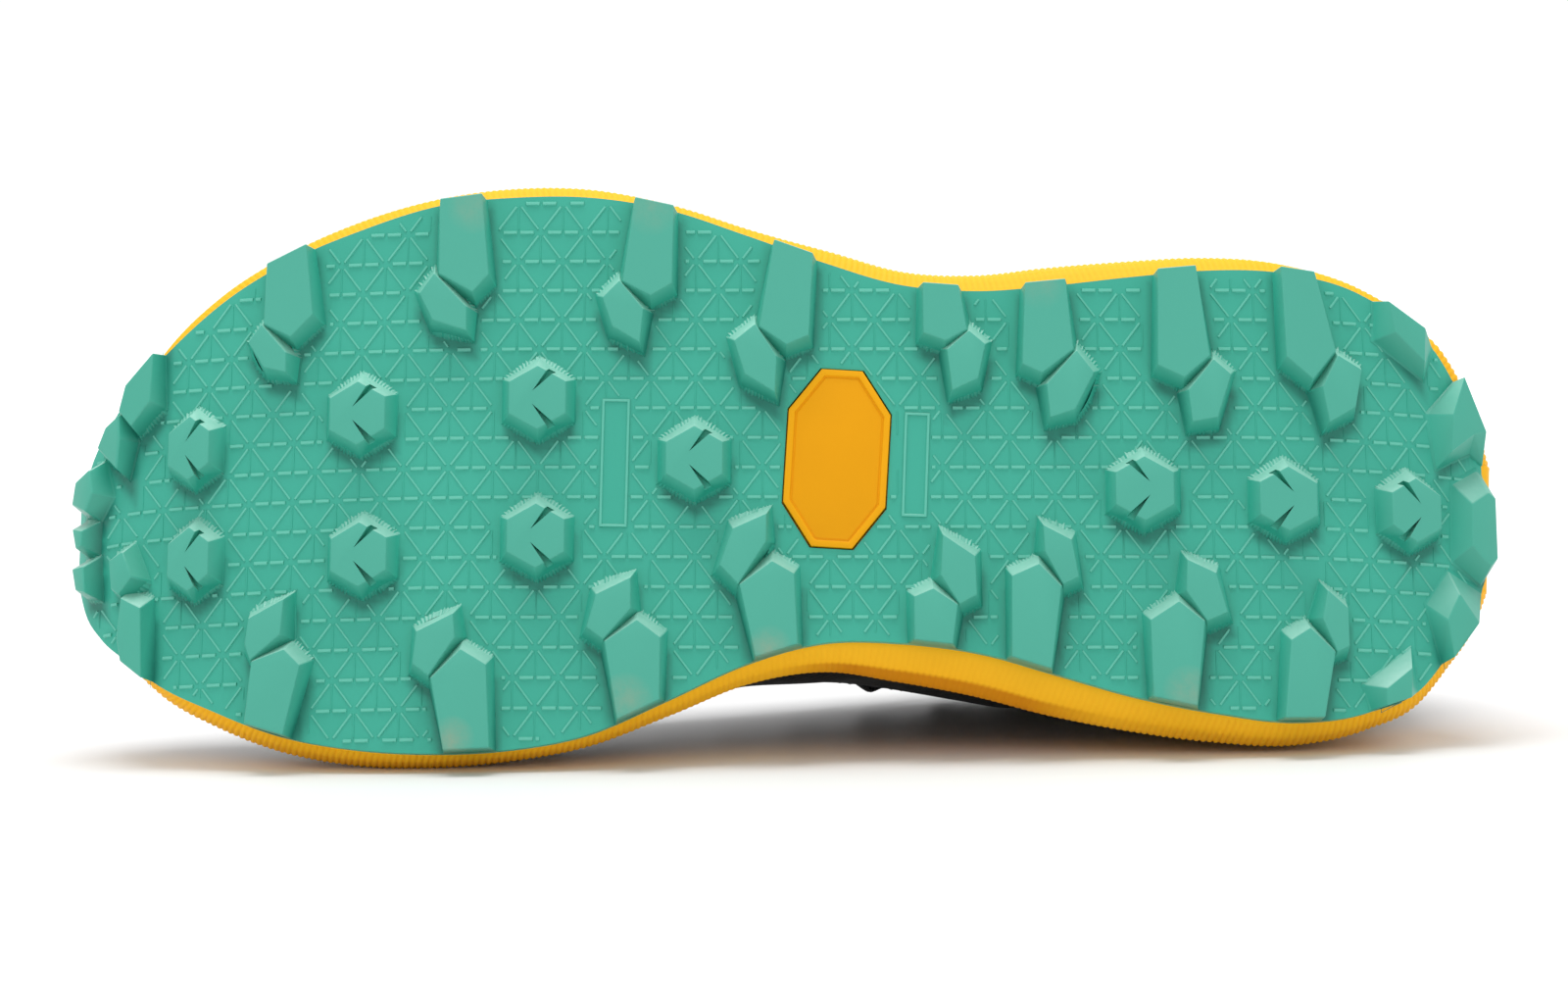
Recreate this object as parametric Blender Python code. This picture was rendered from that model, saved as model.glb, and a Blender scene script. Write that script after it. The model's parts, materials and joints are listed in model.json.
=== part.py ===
"""A left trail running shoe that lies on its medial side, so that its lugged sole faces -Y.

The shoe is modelled in its own frame: x from heel to toe, y towards the lateral side, z up from
the ground under its lugs. At the end the whole shoe is turned onto its side, where the sole's edge
and the upper both touch the floor.
"""
import functools
import math
from collections import namedtuple

import bmesh
import bpy
import numpy as np
from mathutils import Matrix, Vector

# Driving sizes of the sole, in metres.
LENGTH = 0.305
BALL_WIDTH = 0.120
HEEL_STACK = 0.0365
RUBBER = 0.0018
LUG_DEPTH = 0.005
LUG_WIDTH = 0.0108
RIM_LUG_SHARE = 0.9
LUG_DRAFT = 0.0018
HEX_WIDTH = 0.0120
SIDE_FLARE = 0.0076
SIDE_LEAN = 0.0100
RIDGE_RISE = 0.0075

# Driving sizes of the upper.
INSTEP_HEIGHT = 0.112
FEATHER_STEP = 0.0030
WALL = 0.0020
COLLAR_PAD = 0.0032
OVERLAY = 0.0010
EYESTAY_WIDTH = 0.0150
EYESTAY_INSET = 0.0015
THROAT_SHIFT = 0.0020

# Driving sizes of what goes in and on the upper.
INSOLE = 0.0040
TONGUE = 0.0035
TONGUE_WING = 0.0090
TONGUE_TOP = 0.0200
EYELET = 0.0044
EYELET_INSET = 0.0075
LACE_WIDTH = 0.0060
LACE_THICK = 0.0012

BADGE_WIDTH = 0.0217
BADGE_LENGTH = 0.0387
BADGE_RISE = 0.0006

GAP = 0.0003
OVERLAY_GAP = 0.0004
SINK = 0.0009
SLIT = 0.0001
TONGUE_GAP = 0.0009
LACE_TOP = OVERLAY_GAP + OVERLAY + GAP + LACE_THICK * 1.5

# The underside's slope in degrees, at shares of the length: heel bevel, flat run and toe spring.
SlopeRow = namedtuple("SlopeRow", "along slope")
SOLE_LINE = (
    SlopeRow(0.000, -36),
    SlopeRow(0.020, -27),
    SlopeRow(0.060, -17),
    SlopeRow(0.100, -12),
    SlopeRow(0.150, -6),
    SlopeRow(0.190, 0),
    SlopeRow(0.620, 0),
    SlopeRow(0.700, 2),
    SlopeRow(0.790, 8),
    SlopeRow(0.910, 16),
    SlopeRow(0.955, 30),
    SlopeRow(0.985, 50),
    SlopeRow(1.000, 70),
)

# The outsole's edge: distances from the shoe's long axis, as shares of the ball width.
OutlineRow = namedtuple("OutlineRow", "along lateral medial")
OUTLINE = (
    OutlineRow(0.000, 0.083, 0.125),
    OutlineRow(0.010, 0.172, 0.188),
    OutlineRow(0.030, 0.275, 0.267),
    OutlineRow(0.049, 0.320, 0.329),
    OutlineRow(0.089, 0.381, 0.381),
    OutlineRow(0.141, 0.411, 0.403),
    OutlineRow(0.197, 0.414, 0.388),
    OutlineRow(0.250, 0.402, 0.361),
    OutlineRow(0.305, 0.386, 0.321),
    OutlineRow(0.357, 0.376, 0.283),
    OutlineRow(0.413, 0.388, 0.264),
    OutlineRow(0.466, 0.429, 0.264),
    OutlineRow(0.521, 0.480, 0.303),
    OutlineRow(0.574, 0.526, 0.366),
    OutlineRow(0.630, 0.550, 0.428),
    OutlineRow(0.682, 0.551, 0.453),
    OutlineRow(0.738, 0.537, 0.459),
    OutlineRow(0.793, 0.496, 0.448),
    OutlineRow(0.846, 0.443, 0.419),
    OutlineRow(0.892, 0.375, 0.371),
    OutlineRow(0.931, 0.292, 0.320),
    OutlineRow(0.957, 0.228, 0.268),
    OutlineRow(0.977, 0.163, 0.221),
    OutlineRow(0.991, 0.103, 0.167),
    OutlineRow(1.000, 0.040, 0.100),
)

# The midsole's side: flare from the outsole's edge out to the ridge, as shares of SIDE_FLARE, the wall's
# lean back in from ridge to rim as shares of SIDE_LEAN, the ridge's rise, and the rim's height as shares
# of HEEL_STACK.
SideRow = namedtuple("SideRow", "along lateral medial lean rise rim")
SIDE = (
    SideRow(0.000, 0.64, 0.42, 1.00, 1.00, 1.18),
    SideRow(0.050, 0.61, 0.27, 1.00, 1.00, 1.12),
    SideRow(0.100, 0.56, 0.34, 1.00, 1.00, 1.07),
    SideRow(0.141, 0.64, 0.46, 1.00, 1.00, 1.03),
    SideRow(0.197, 0.75, 0.62, 0.98, 1.00, 1.00),
    SideRow(0.250, 0.83, 0.76, 0.92, 1.00, 0.98),
    SideRow(0.305, 0.90, 0.95, 0.83, 1.00, 0.97),
    SideRow(0.357, 0.83, 1.00, 0.73, 1.00, 0.96),
    SideRow(0.413, 0.76, 0.88, 0.63, 1.00, 0.93),
    SideRow(0.466, 0.72, 0.60, 0.56, 1.00, 0.89),
    SideRow(0.521, 0.55, 0.34, 0.51, 1.00, 0.85),
    SideRow(0.574, 0.52, 0.22, 0.50, 1.00, 0.81),
    SideRow(0.630, 0.62, 0.12, 0.50, 1.00, 0.78),
    SideRow(0.682, 0.66, 0.12, 0.50, 1.00, 0.755),
    SideRow(0.738, 0.60, 0.20, 0.50, 1.00, 0.745),
    SideRow(0.793, 0.66, 0.27, 0.48, 1.00, 0.765),
    SideRow(0.846, 0.62, 0.27, 0.45, 1.00, 0.82),
    SideRow(0.892, 0.58, 0.26, 0.42, 0.95, 0.88),
    SideRow(0.931, 0.46, 0.18, 0.38, 0.80, 0.95),
    SideRow(0.957, 0.20, 0.08, 0.34, 0.60, 1.02),
    SideRow(0.977, 0.06, 0.03, 0.32, 0.42, 1.08),
    SideRow(1.000, 0.00, 0.00, 0.30, 0.26, 1.15),
)

# The upper's top line, met by a rib from the feather line at each share of the length. Place is a share
# of LENGTH, half a share of BALL_WIDTH, and height, rise and reach are shares of INSTEP_HEIGHT. Rise and
# out shape the rib's foot, arrival and reach its top; out and arrival are in degrees.
TopRow = namedtuple("TopRow", "along place half height rise out arrival reach")
TOP_LINE = (
    TopRow(0.000, 0.042, 0.050, 0.950, 0.210, 18, 88, 0.18),
    TopRow(0.010, 0.043, 0.085, 0.945, 0.210, 18, 88, 0.18),
    TopRow(0.030, 0.050, 0.140, 0.930, 0.200, 16, 86, 0.17),
    TopRow(0.049, 0.062, 0.180, 0.905, 0.190, 14, 84, 0.16),
    TopRow(0.089, 0.092, 0.228, 0.860, 0.180, 10, 80, 0.15),
    TopRow(0.141, 0.136, 0.258, 0.805, 0.170, 8, 76, 0.14),
    TopRow(0.197, 0.188, 0.268, 0.775, 0.160, 7, 74, 0.13),
    TopRow(0.250, 0.236, 0.262, 0.790, 0.160, 6, 72, 0.14),
    TopRow(0.305, 0.278, 0.246, 0.850, 0.170, 5, 68, 0.17),
    TopRow(0.357, 0.312, 0.222, 0.940, 0.190, 4, 62, 0.20),
    TopRow(0.413, 0.345, 0.185, 1.000, 0.200, 4, 50, 0.22),
    TopRow(0.466, 0.400, 0.165, 0.940, 0.200, 5, 42, 0.22),
    TopRow(0.521, 0.455, 0.155, 0.865, 0.200, 6, 38, 0.21),
    TopRow(0.574, 0.508, 0.146, 0.790, 0.190, 7, 35, 0.21),
    TopRow(0.630, 0.556, 0.136, 0.725, 0.190, 8, 32, 0.21),
    TopRow(0.682, 0.594, 0.124, 0.680, 0.190, 8, 28, 0.22),
    TopRow(0.738, 0.621, 0.104, 0.650, 0.180, 8, 24, 0.26),
    TopRow(0.793, 0.635, 0.078, 0.636, 0.175, 9, 20, 0.33),
    TopRow(0.846, 0.642, 0.056, 0.630, 0.170, 10, 18, 0.38),
    TopRow(0.892, 0.646, 0.040, 0.627, 0.170, 11, 17, 0.42),
    TopRow(0.931, 0.648, 0.029, 0.625, 0.170, 12, 16, 0.45),
    TopRow(0.957, 0.649, 0.021, 0.624, 0.170, 12, 16, 0.47),
    TopRow(0.977, 0.650, 0.014, 0.624, 0.170, 12, 16, 0.48),
    TopRow(1.000, 0.651, 0.005, 0.624, 0.170, 12, 16, 0.49),
)

# Lug pairs along both edges: a bar that runs out to the edge, and a flake beside its tip. Along and across
# place the bar's tip, as shares of LENGTH and BALL_WIDTH; width is a share of LUG_WIDTH, drift moves the
# bar's outer end towards the toe as a share of its width, and facing is 1 where the flake lies towards
# the toe.
PairRow = namedtuple("PairRow", "side along across width drift facing")
LUG_PAIRS = (
    PairRow(1, 0.837, 0.293, 0.95, 0.14, 1),
    PairRow(1, 0.711, 0.365, 0.95, 0.18, 1),
    PairRow(1, 0.587, 0.357, 0.92, -0.02, 1),
    PairRow(1, 0.492, 0.267, 1.00, -0.14, 1),
    PairRow(1, 0.381, 0.274, 0.80, 0.06, -1),
    PairRow(1, 0.314, 0.215, 0.98, -0.07, -1),
    PairRow(1, 0.215, 0.207, 1.03, 0.05, -1),
    PairRow(1, 0.127, 0.207, 0.89, 0.22, -1),
    PairRow(-1, 0.836, 0.275, 0.93, 0.34, 1),
    PairRow(-1, 0.715, 0.282, 1.03, -0.10, 1),
    PairRow(-1, 0.595, 0.231, 1.02, -0.06, 1),
    PairRow(-1, 0.502, 0.126, 1.00, -0.15, 1),
    PairRow(-1, 0.391, 0.175, 0.84, 0.02, -1),
    PairRow(-1, 0.318, 0.131, 0.94, 0.19, -1),
    PairRow(-1, 0.222, 0.198, 1.06, 0.08, -1),
    PairRow(-1, 0.134, 0.243, 0.81, 0.26, -1),
)

# Bar and flake outlines in widths of their bar: reach towards the flake, and depth towards the shoe's middle.
FLAKE = ((0.57, -0.37), (0.11, 0.24), (0.13, 0.88), (0.70, 0.66), (0.94, 0.02))
BAR_NEAR = (0.53, -0.34)
BAR_FAR = (-0.43, -0.44)
BAR_END_NEAR = 0.42
BAR_END_FAR = -0.36

# Hexagonal lugs down the middle: across is a signed share of BALL_WIDTH.
HexRow = namedtuple("HexRow", "along across")
HEXES = (
    HexRow(0.907, 0.099),
    HexRow(0.905, -0.104),
    HexRow(0.789, 0.147),
    HexRow(0.786, -0.109),
    HexRow(0.665, 0.170),
    HexRow(0.665, -0.080),
    HexRow(0.556, 0.060),
    HexRow(0.244, 0.005),
    HexRow(0.146, -0.012),
    HexRow(0.058, -0.022),
)
MOUNT_HEXES = (6, 7)

# Lugs round toe and heel that lean outwards. Each is a short outline of corners, as shares of LENGTH and
# BALL_WIDTH.
RIM_LUGS = (
    ((0.935, 0.297), (0.954, 0.229), (0.958, 0.183), (0.949, 0.152), (0.936, 0.194)),
    ((0.958, 0.174), (0.967, 0.155), (0.972, 0.122), (0.958, 0.076), (0.957, 0.130)),
    ((0.978, 0.084), (0.988, 0.068), (0.990, 0.030), (0.980, 0.010), (0.975, 0.041)),
    ((0.961, -0.093), (0.952, -0.079), (0.945, -0.126), (0.954, -0.155), (0.959, -0.143)),
    ((0.952, -0.163), (0.938, -0.185), (0.936, -0.327), (0.951, -0.277), (0.954, -0.234)),
    ((0.989, -0.017), (0.982, -0.026), (0.982, -0.052), (0.986, -0.055)),
    ((0.988, -0.092), (0.980, -0.093), (0.978, -0.141), (0.985, -0.132)),
    ((0.072, 0.369), (0.047, 0.322), (0.048, 0.254), (0.068, 0.304)),
    ((0.020, 0.239), (0.006, 0.167), (0.015, 0.129), (0.031, 0.093), (0.029, 0.160)),
    ((0.018, 0.000), (0.006, 0.025), (0.001, 0.016), (0.001, -0.092), (0.006, -0.108), (0.019, -0.075)),
    ((0.029, -0.167), (0.016, -0.236), (0.026, -0.270), (0.034, -0.302), (0.038, -0.217)),
    ((0.064, -0.306), (0.065, -0.364), (0.082, -0.385), (0.082, -0.345)),
)

# The octagonal badge: its middle, its turn in degrees, and corners as shares of its half width and half
# length.
BADGE_ALONG = 0.4569
BADGE_ACROSS = 0.068
BADGE_TURN = 3.5
BADGE_CORNERS = (
    (0.40, 1.0), (1.0, 0.52), (1.0, -0.52), (0.40, -1.0),
    (-0.40, -1.0), (-1.0, -0.52), (-1.0, 0.52), (-0.40, 1.0),
)

# A lace run, as shares of its way up the throat and across it: 0 and 3 are eyelets, 1 and 2 the throat's
# edges.
LACE_PATH = (
    (0.0, -0.1), (0.0, 0.0), (0.08, 1.0), (0.25, 1.22), (0.42, 1.40),
    (0.58, 1.60), (0.75, 1.78), (0.92, 2.0), (1.0, 3.0), (1.0, 3.1),
)
EYELETS = (0.432, 0.484, 0.536, 0.588, 0.640, 0.690)
TONGUE_STATIONS = (
    0.420, 0.450, 0.485, 0.520, 0.555, 0.590, 0.625, 0.660, 0.695, 0.735, 0.780, 0.830, 0.880, 0.925,
)
UPPER_STEPS = 11

# Where the overlays begin and end along the shoe, and how far they climb the upper's ribs, as shares.
OVERLAY_FOOT = 0.02
TOE_CAP_START, TOE_CAP_CLIMB, TOE_CAP_LOW, TOE_CAP_RISE = 0.80, 0.17, 0.10, 0.20
COUNTER_END, COUNTER_TOP, COUNTER_FALL = 0.17, 0.66, 0.34
EYESTAY_START = 0.410

# The midsole's lower facet, and the bend in its wall above the ridge, as shares of the way out and up.
FACET_OUT, FACET_RISE = 0.70, 0.40
WALL_IN, WALL_RISE = 0.42, 0.55
TONGUE_TAPER = 0.16

# Rough densities in kg per cubic metre, which decide how the shoe lies.
DENSITY = {
    "outsole": 1100, "badge_plate": 1100, "midsole": 170, "upper": 450, "toe_cap": 1100, "heel_counter": 1100,
    "eyestay": 900, "tongue": 220, "insole": 200, "lace": 600,
}

Material = namedtuple("Material", "colour roughness")
MATERIALS = {
    "outsole": Material((0.058, 0.407, 0.287), 0.62),
    "badge_plate": Material((0.887, 0.402, 0.005), 0.55),
    "midsole": Material((0.905, 0.500, 0.020), 0.70),
    "upper": Material((0.012, 0.012, 0.013), 0.85),
    "toe_cap": Material((0.018, 0.018, 0.019), 0.60),
    "heel_counter": Material((0.018, 0.018, 0.019), 0.60),
    "eyestay": Material((0.022, 0.022, 0.023), 0.65),
    "tongue": Material((0.014, 0.014, 0.015), 0.90),
    "insole": Material((0.040, 0.040, 0.042), 0.90),
    "lace": Material((0.030, 0.030, 0.032), 0.85),
}


def read(rows, column, along):
    """One column of a table at a share of the length, on a smooth curve through its rows."""
    places = np.array([row.along for row in rows])
    values = np.array([getattr(row, column) for row in rows], float)
    slopes = np.gradient(values, places)
    row = int(np.clip(np.searchsorted(places, along) - 1, 0, len(rows) - 2))
    step = places[row + 1] - places[row]
    s = (along - places[row]) / step
    start = (1 + 2 * s) * (1 - s) ** 2 * values[row] + s * (1 - s) ** 2 * step * slopes[row]
    end = s * s * (3 - 2 * s) * values[row + 1] + s * s * (s - 1) * step * slopes[row + 1]
    return start + end


def slope_at(along):
    """The underside's slope in radians."""
    places = [row.along for row in SOLE_LINE]
    return math.radians(np.interp(along, places, [row.slope for row in SOLE_LINE]))


@functools.lru_cache(maxsize=None)
def base_height(along, steps=60):
    """The height of the rubber's underside, which rises from the flat run towards toe and heel."""
    flat = SOLE_LINE[6].along
    shares = np.linspace(flat, along, steps + 1)
    rise = sum(math.tan(slope_at((a + b) / 2)) * (b - a) for a, b in zip(shares[:-1], shares[1:]))
    return LUG_DEPTH + rise * LENGTH


def under(x, y, out):
    """A point at a distance out from the rubber's underside, square to it."""
    slope = slope_at(x / LENGTH)
    return Vector((x + out * math.sin(slope), y, base_height(x / LENGTH) - out * math.cos(slope)))


def edge(along, side):
    """The outsole's edge in plan."""
    column = "lateral" if side > 0 else "medial"
    return Vector((along * LENGTH, side * read(OUTLINE, column, along) * BALL_WIDTH, 0))


def outward(along, side, step=0.004):
    """The direction square to the outsole's edge in plan."""
    run = edge(min(along + step, 1), side) - edge(max(along - step, 0), side)
    return Vector((-run.y, run.x, 0)).normalized() * side


def side_point(along, side, out, height):
    """A point of the midsole's side, out from where its bottom meets the rubber."""
    foot = under(*edge(along, side).xy, -RUBBER - GAP)
    point = foot + outward(along, side) * out
    point.z = height
    return point


def flare(along, side):
    return SIDE_FLARE * read(SIDE, "lateral" if side > 0 else "medial", along)


def rim_height(along):
    return HEEL_STACK * read(SIDE, "rim", along)


def rim_out(along, side):
    return flare(along, side) - SIDE_LEAN * read(SIDE, "lean", along)


def stations(rows, between=0):
    """The rows' own shares of the length, with as many more between each two of them."""
    places = [row.along for row in rows]
    return [
        a + (b - a) * k / (between + 1) for a, b in zip(places[:-1], places[1:]) for k in range(between + 1)
    ] + [places[-1]]


def loop(places):
    """Stations right round the shoe: up the lateral side and back down the medial side."""
    return [(along, 1) for along in places] + [(along, -1) for along in reversed(places)]


def add_object(name, mesh, collection):
    obj = bpy.data.objects.new(name, mesh)
    collection.objects.link(obj)
    return obj


def mesh_of(name, points, faces):
    """A closed mesh from points and faces, with its faces turned outwards."""
    body = bmesh.new()
    verts = [body.verts.new(point) for point in points]
    for face in faces:
        body.faces.new([verts[corner] for corner in face])
    bmesh.ops.recalc_face_normals(body, faces=body.faces)
    mesh = bpy.data.meshes.new(name)
    body.to_mesh(mesh)
    body.free()
    return mesh


def stacked(name, rings):
    """A solid from rings round the shoe, closed below the first and above the last by strips across."""
    size = len(rings[0])
    points = [point for ring in rings for point in ring]
    faces = []
    for level in range(len(rings) - 1):
        for k in range(size):
            near, far = level * size + k, level * size + (k + 1) % size
            faces.append((near, far, far + size, near + size))
    for start in (0, (len(rings) - 1) * size):
        for k in range(size // 2 - 1):
            faces.append((start + k, start + k + 1, start + size - 2 - k, start + size - 1 - k))
    return mesh_of(name, points, faces)


def shell(name, outer, inner, closed):
    """A wall between two like grids of points; closed means that its last rib meets its first."""
    ribs, steps = len(outer), len(outer[0])
    points = [point for grid in (outer, inner) for rib in grid for point in rib]
    half = ribs * steps
    faces = []
    for i in range(ribs if closed else ribs - 1):
        a, b = i * steps, (i + 1) % ribs * steps
        for j in range(steps - 1):
            faces.append((a + j, b + j, b + j + 1, a + j + 1))
            faces.append((half + a + j, half + a + j + 1, half + b + j + 1, half + b + j))
        for j in (0, steps - 1):
            faces.append((a + j, b + j, half + b + j, half + a + j))
    if not closed:
        for start in (0, (ribs - 1) * steps):
            for j in range(steps - 1):
                faces.append((start + j, start + j + 1, half + start + j + 1, half + start + j))
    return mesh_of(name, points, faces)


@functools.lru_cache(maxsize=None)
def rib(along, side):
    """The four control points of the upper's rib, from the feather line to the top line."""
    foot = side_point(along, side, rim_out(along, side) - FEATHER_STEP, rim_height(along) + GAP)
    place = read(TOP_LINE, "place", along)
    centre = THROAT_SHIFT * min(1, place / 0.2)
    top = Vector((
        place * LENGTH,
        centre + side * read(TOP_LINE, "half", along) * BALL_WIDTH,
        read(TOP_LINE, "height", along) * INSTEP_HEIGHT,
    ))
    away = outward(along, side)
    out = math.radians(read(TOP_LINE, "out", along))
    rise = read(TOP_LINE, "rise", along) * INSTEP_HEIGHT
    reach = read(TOP_LINE, "reach", along) * INSTEP_HEIGHT
    low = foot + (away * math.sin(out) + Vector((0, 0, math.cos(out)))) * rise
    return foot, low, top - arrival(along, side, foot, top) * reach, top


def arrival(along, side, foot, top):
    """The direction in which a rib reaches the top line."""
    level = Vector((top.x - foot.x, top.y - foot.y, 0))
    turn = min(max((level.length - 0.008) / 0.020, 0), 1)
    level = (level.normalized() * turn - outward(along, side) * (1 - turn)).normalized()
    angle = math.radians(read(TOP_LINE, "arrival", along))
    return level * math.cos(angle) + Vector((0, 0, math.sin(angle)))


def bezier(controls, s):
    a, b, c, d = controls
    return a * (1 - s) ** 3 + b * 3 * s * (1 - s) ** 2 + c * 3 * s * s * (1 - s) + d * s**3


def bezier_run(controls, s):
    a, b, c, d = controls
    return (b - a) * (1 - s) ** 2 + (c - b) * 2 * s * (1 - s) + (d - c) * s * s


def on_upper(along, side, up, out=0.0, step=0.003):
    """A point of the upper at a share up its rib, moved out square to the surface."""
    controls = rib(along, side)
    before, after = max(along - step, 0), min(along + step, 1)
    across = bezier(rib(after, side), up) - bezier(rib(before, side), up)
    square = (across.cross(bezier_run(controls, up)) * -side).normalized()
    if up == 0:
        square.z = 0
        square.normalize()
    return bezier(controls, up) + square * out


def on_bridge(along, across, out=0.0, step=0.003):
    """A point of the surface that carries the upper on over the throat, from lateral 0 to medial 1."""

    def controls(place):
        lateral, medial = rib(place, 1), rib(place, -1)
        reach = (lateral[3] - medial[3]).length * 0.36
        leave = arrival(place, 1, lateral[0], lateral[3])
        arrive = arrival(place, -1, medial[0], medial[3])
        return lateral[3], lateral[3] + leave * reach, medial[3] + arrive * reach, medial[3]

    run = bezier_run(controls(along), across)
    ahead = bezier(controls(along + step), across) - bezier(controls(along - step), across)
    square = run.cross(ahead).normalized()
    if square.z < 0:
        square.negate()
    return bezier(controls(along), across) + square * out


@functools.lru_cache(maxsize=None)
def rib_length(along, side):
    points = [bezier(rib(along, side), k / 8) for k in range(9)]
    return sum((b - a).length for a, b in zip(points[:-1], points[1:]))


def wall_at(along, up):
    """The upper's wall, thicker where the collar is padded."""
    rearwards = min(max((0.33 - along) / 0.08, 0), 1)
    upwards = min(max((up - 0.45) / 0.25, 0), 1) * min(max((1.04 - up) / 0.12, 0.35), 1)
    return WALL + COLLAR_PAD * rearwards * upwards


def lug(name, corners, helpers, rise=LUG_DEPTH, draft=LUG_DRAFT):
    """A drafted lug over an outline on the sole, sunk a little into the rubber."""
    middle = sum((Vector(corner) for corner in corners), Vector((0, 0))) / len(corners)
    top, foot = [], []
    for corner in corners:
        away = Vector(corner) - middle
        wide = middle + away * (1 + draft / away.length)
        limit = edge(min(max(wide.x / LENGTH, 0), 1), 1 if wide.y > 0 else -1).y
        wide.y = min(wide.y, limit) if wide.y > 0 else max(wide.y, limit)
        top.append(under(*corner, rise))
        foot.append(under(min(max(wide.x, 0), LENGTH), wide.y, -SINK))
    count = len(corners)
    faces = [tuple(range(count)), tuple(range(count, 2 * count))]
    faces += [(k, (k + 1) % count, count + (k + 1) % count, count + k) for k in range(count)]
    obj = add_object(name, mesh_of(name, top + foot, faces), helpers)
    obj.hide_render = True
    obj.display_type = "WIRE"
    return obj


def on_sole(x, y, reach, depth, width, side, facing):
    """A corner given in widths of a lug from its tip: reach towards the flake, depth towards the middle."""
    return (x + facing * reach * width, y - side * depth * width)


def pair_lugs(row, number, helpers):
    """A bar that runs out to the sole's edge, and the flake beside its tip."""
    x, y = row.along * LENGTH, row.side * row.across * BALL_WIDTH
    width = row.width * LUG_WIDTH
    tip = (x, y)
    near = on_sole(x, y, *BAR_NEAR, width, row.side, row.facing)
    far = on_sole(x, y, *BAR_FAR, width, row.side, row.facing)
    ends = []
    for reach in (BAR_END_FAR, BAR_END_NEAR):
        end = x + (row.facing * reach + row.drift) * width
        ends.append((end, edge(end / LENGTH, row.side).y))
    lug(f"bar_{number}", (tip, far, *ends, near), helpers)
    flake = [on_sole(x, y, *corner, width, row.side, row.facing) for corner in FLAKE]
    lug(f"flake_{number}", flake, helpers)


def hex_lug(row, number, helpers):
    middle = Vector((row.along * LENGTH, row.across * BALL_WIDTH))
    radius = HEX_WIDTH / math.sqrt(3)
    corners = [
        (middle.x + radius * math.sin(math.tau * k / 6), middle.y + radius * math.cos(math.tau * k / 6))
        for k in range(6)
    ]
    lug(f"hex_{number}", corners, helpers)


def badge_outline(grow):
    """The badge's corners on the sole, grown all round."""
    turn = math.radians(BADGE_TURN)
    corners = []
    for long, wide in BADGE_CORNERS:
        x = math.copysign(BADGE_WIDTH / 2 * abs(long) + grow, long)
        y = math.copysign(BADGE_LENGTH / 2 * abs(wide) + grow, wide)
        corners.append((
            BADGE_ALONG * LENGTH + x * math.cos(turn) - y * math.sin(turn),
            BADGE_ACROSS * BALL_WIDTH + x * math.sin(turn) + y * math.cos(turn),
        ))
    return corners


def prism(name, corners, low, high):
    """An upright prism over corners on the sole, from out = low to out = high."""
    count = len(corners)
    points = [under(*corner, out) for out in (low, high) for corner in corners]
    faces = [tuple(range(count)), tuple(range(count, 2 * count))]
    faces += [(k, (k + 1) % count, count + (k + 1) % count, count + k) for k in range(count)]
    return mesh_of(name, points, faces)


def boolean(obj, operation, other):
    modifier = obj.modifiers.new(operation.lower(), "BOOLEAN")
    modifier.operation = operation
    modifier.solver = "EXACT"
    if isinstance(other, bpy.types.Collection):
        modifier.operand_type = "COLLECTION"
        modifier.collection = other
    else:
        modifier.object = other
    return modifier


def collection_named(name, parent):
    made = bpy.data.collections.new(name)
    parent.children.link(made)
    return made


def make_outsole(parts, helpers):
    places = loop(stations(OUTLINE, 1))
    rings = [[under(*edge(*place).xy, out) for place in places] for out in (0, -RUBBER)]
    outsole = add_object("outsole", stacked("outsole", rings), parts)
    lugs = collection_named("lugs", helpers)
    for number, row in enumerate(LUG_PAIRS):
        pair_lugs(row, number, lugs)
    for number, row in enumerate(HEXES):
        hex_lug(row, number, lugs)
    for number, shares in enumerate(RIM_LUGS):
        corners = [(along * LENGTH, across * BALL_WIDTH) for along, across in shares]
        lug(f"rim_{number}", corners, lugs, rise=LUG_DEPTH * RIM_LUG_SHARE)
    opening = prism("badge_window", badge_outline(GAP), -2 * RUBBER, RUBBER)
    window = add_object("badge_window", opening, helpers)
    window.hide_render = True
    window.display_type = "WIRE"
    boolean(outsole, "DIFFERENCE", window)
    boolean(outsole, "UNION", lugs)
    return outsole


def make_badge_plate(parts):
    return add_object("badge_plate", prism("badge_plate", badge_outline(0), -RUBBER, BADGE_RISE), parts)


def make_midsole(parts):
    """Foam with a flared lower facet, an arch facet, a ridge and a wall that leans back in to the rim."""
    rings = [[], [], [], [], []]
    for along, side in loop(stations(OUTLINE, 1)):
        foot = under(*edge(along, side).xy, -RUBBER - GAP)
        out = flare(along, side)
        ridge = foot.z + RIDGE_RISE * read(SIDE, "rise", along)
        rim = rim_height(along)
        lean = out - rim_out(along, side)
        rings[0].append(foot)
        rings[1].append(side_point(along, side, out * FACET_OUT, foot.z + (ridge - foot.z) * FACET_RISE))
        rings[2].append(side_point(along, side, out, ridge))
        rings[3].append(side_point(along, side, out - lean * WALL_IN, ridge + (rim - ridge) * WALL_RISE))
        rings[4].append(side_point(along, side, out - lean, rim))
    return add_object("midsole", stacked("midsole", rings), parts)


def make_upper(parts):
    outer, inner = [], []
    for along, side in loop(stations(TOP_LINE)):
        shares = [k / UPPER_STEPS for k in range(UPPER_STEPS + 1)]
        outer.append([on_upper(along, side, up) for up in shares])
        inner.append([on_upper(along, side, up, -wall_at(along, up)) for up in shares])
    return add_object("upper", shell("upper", outer, inner, closed=True), parts)


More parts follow.
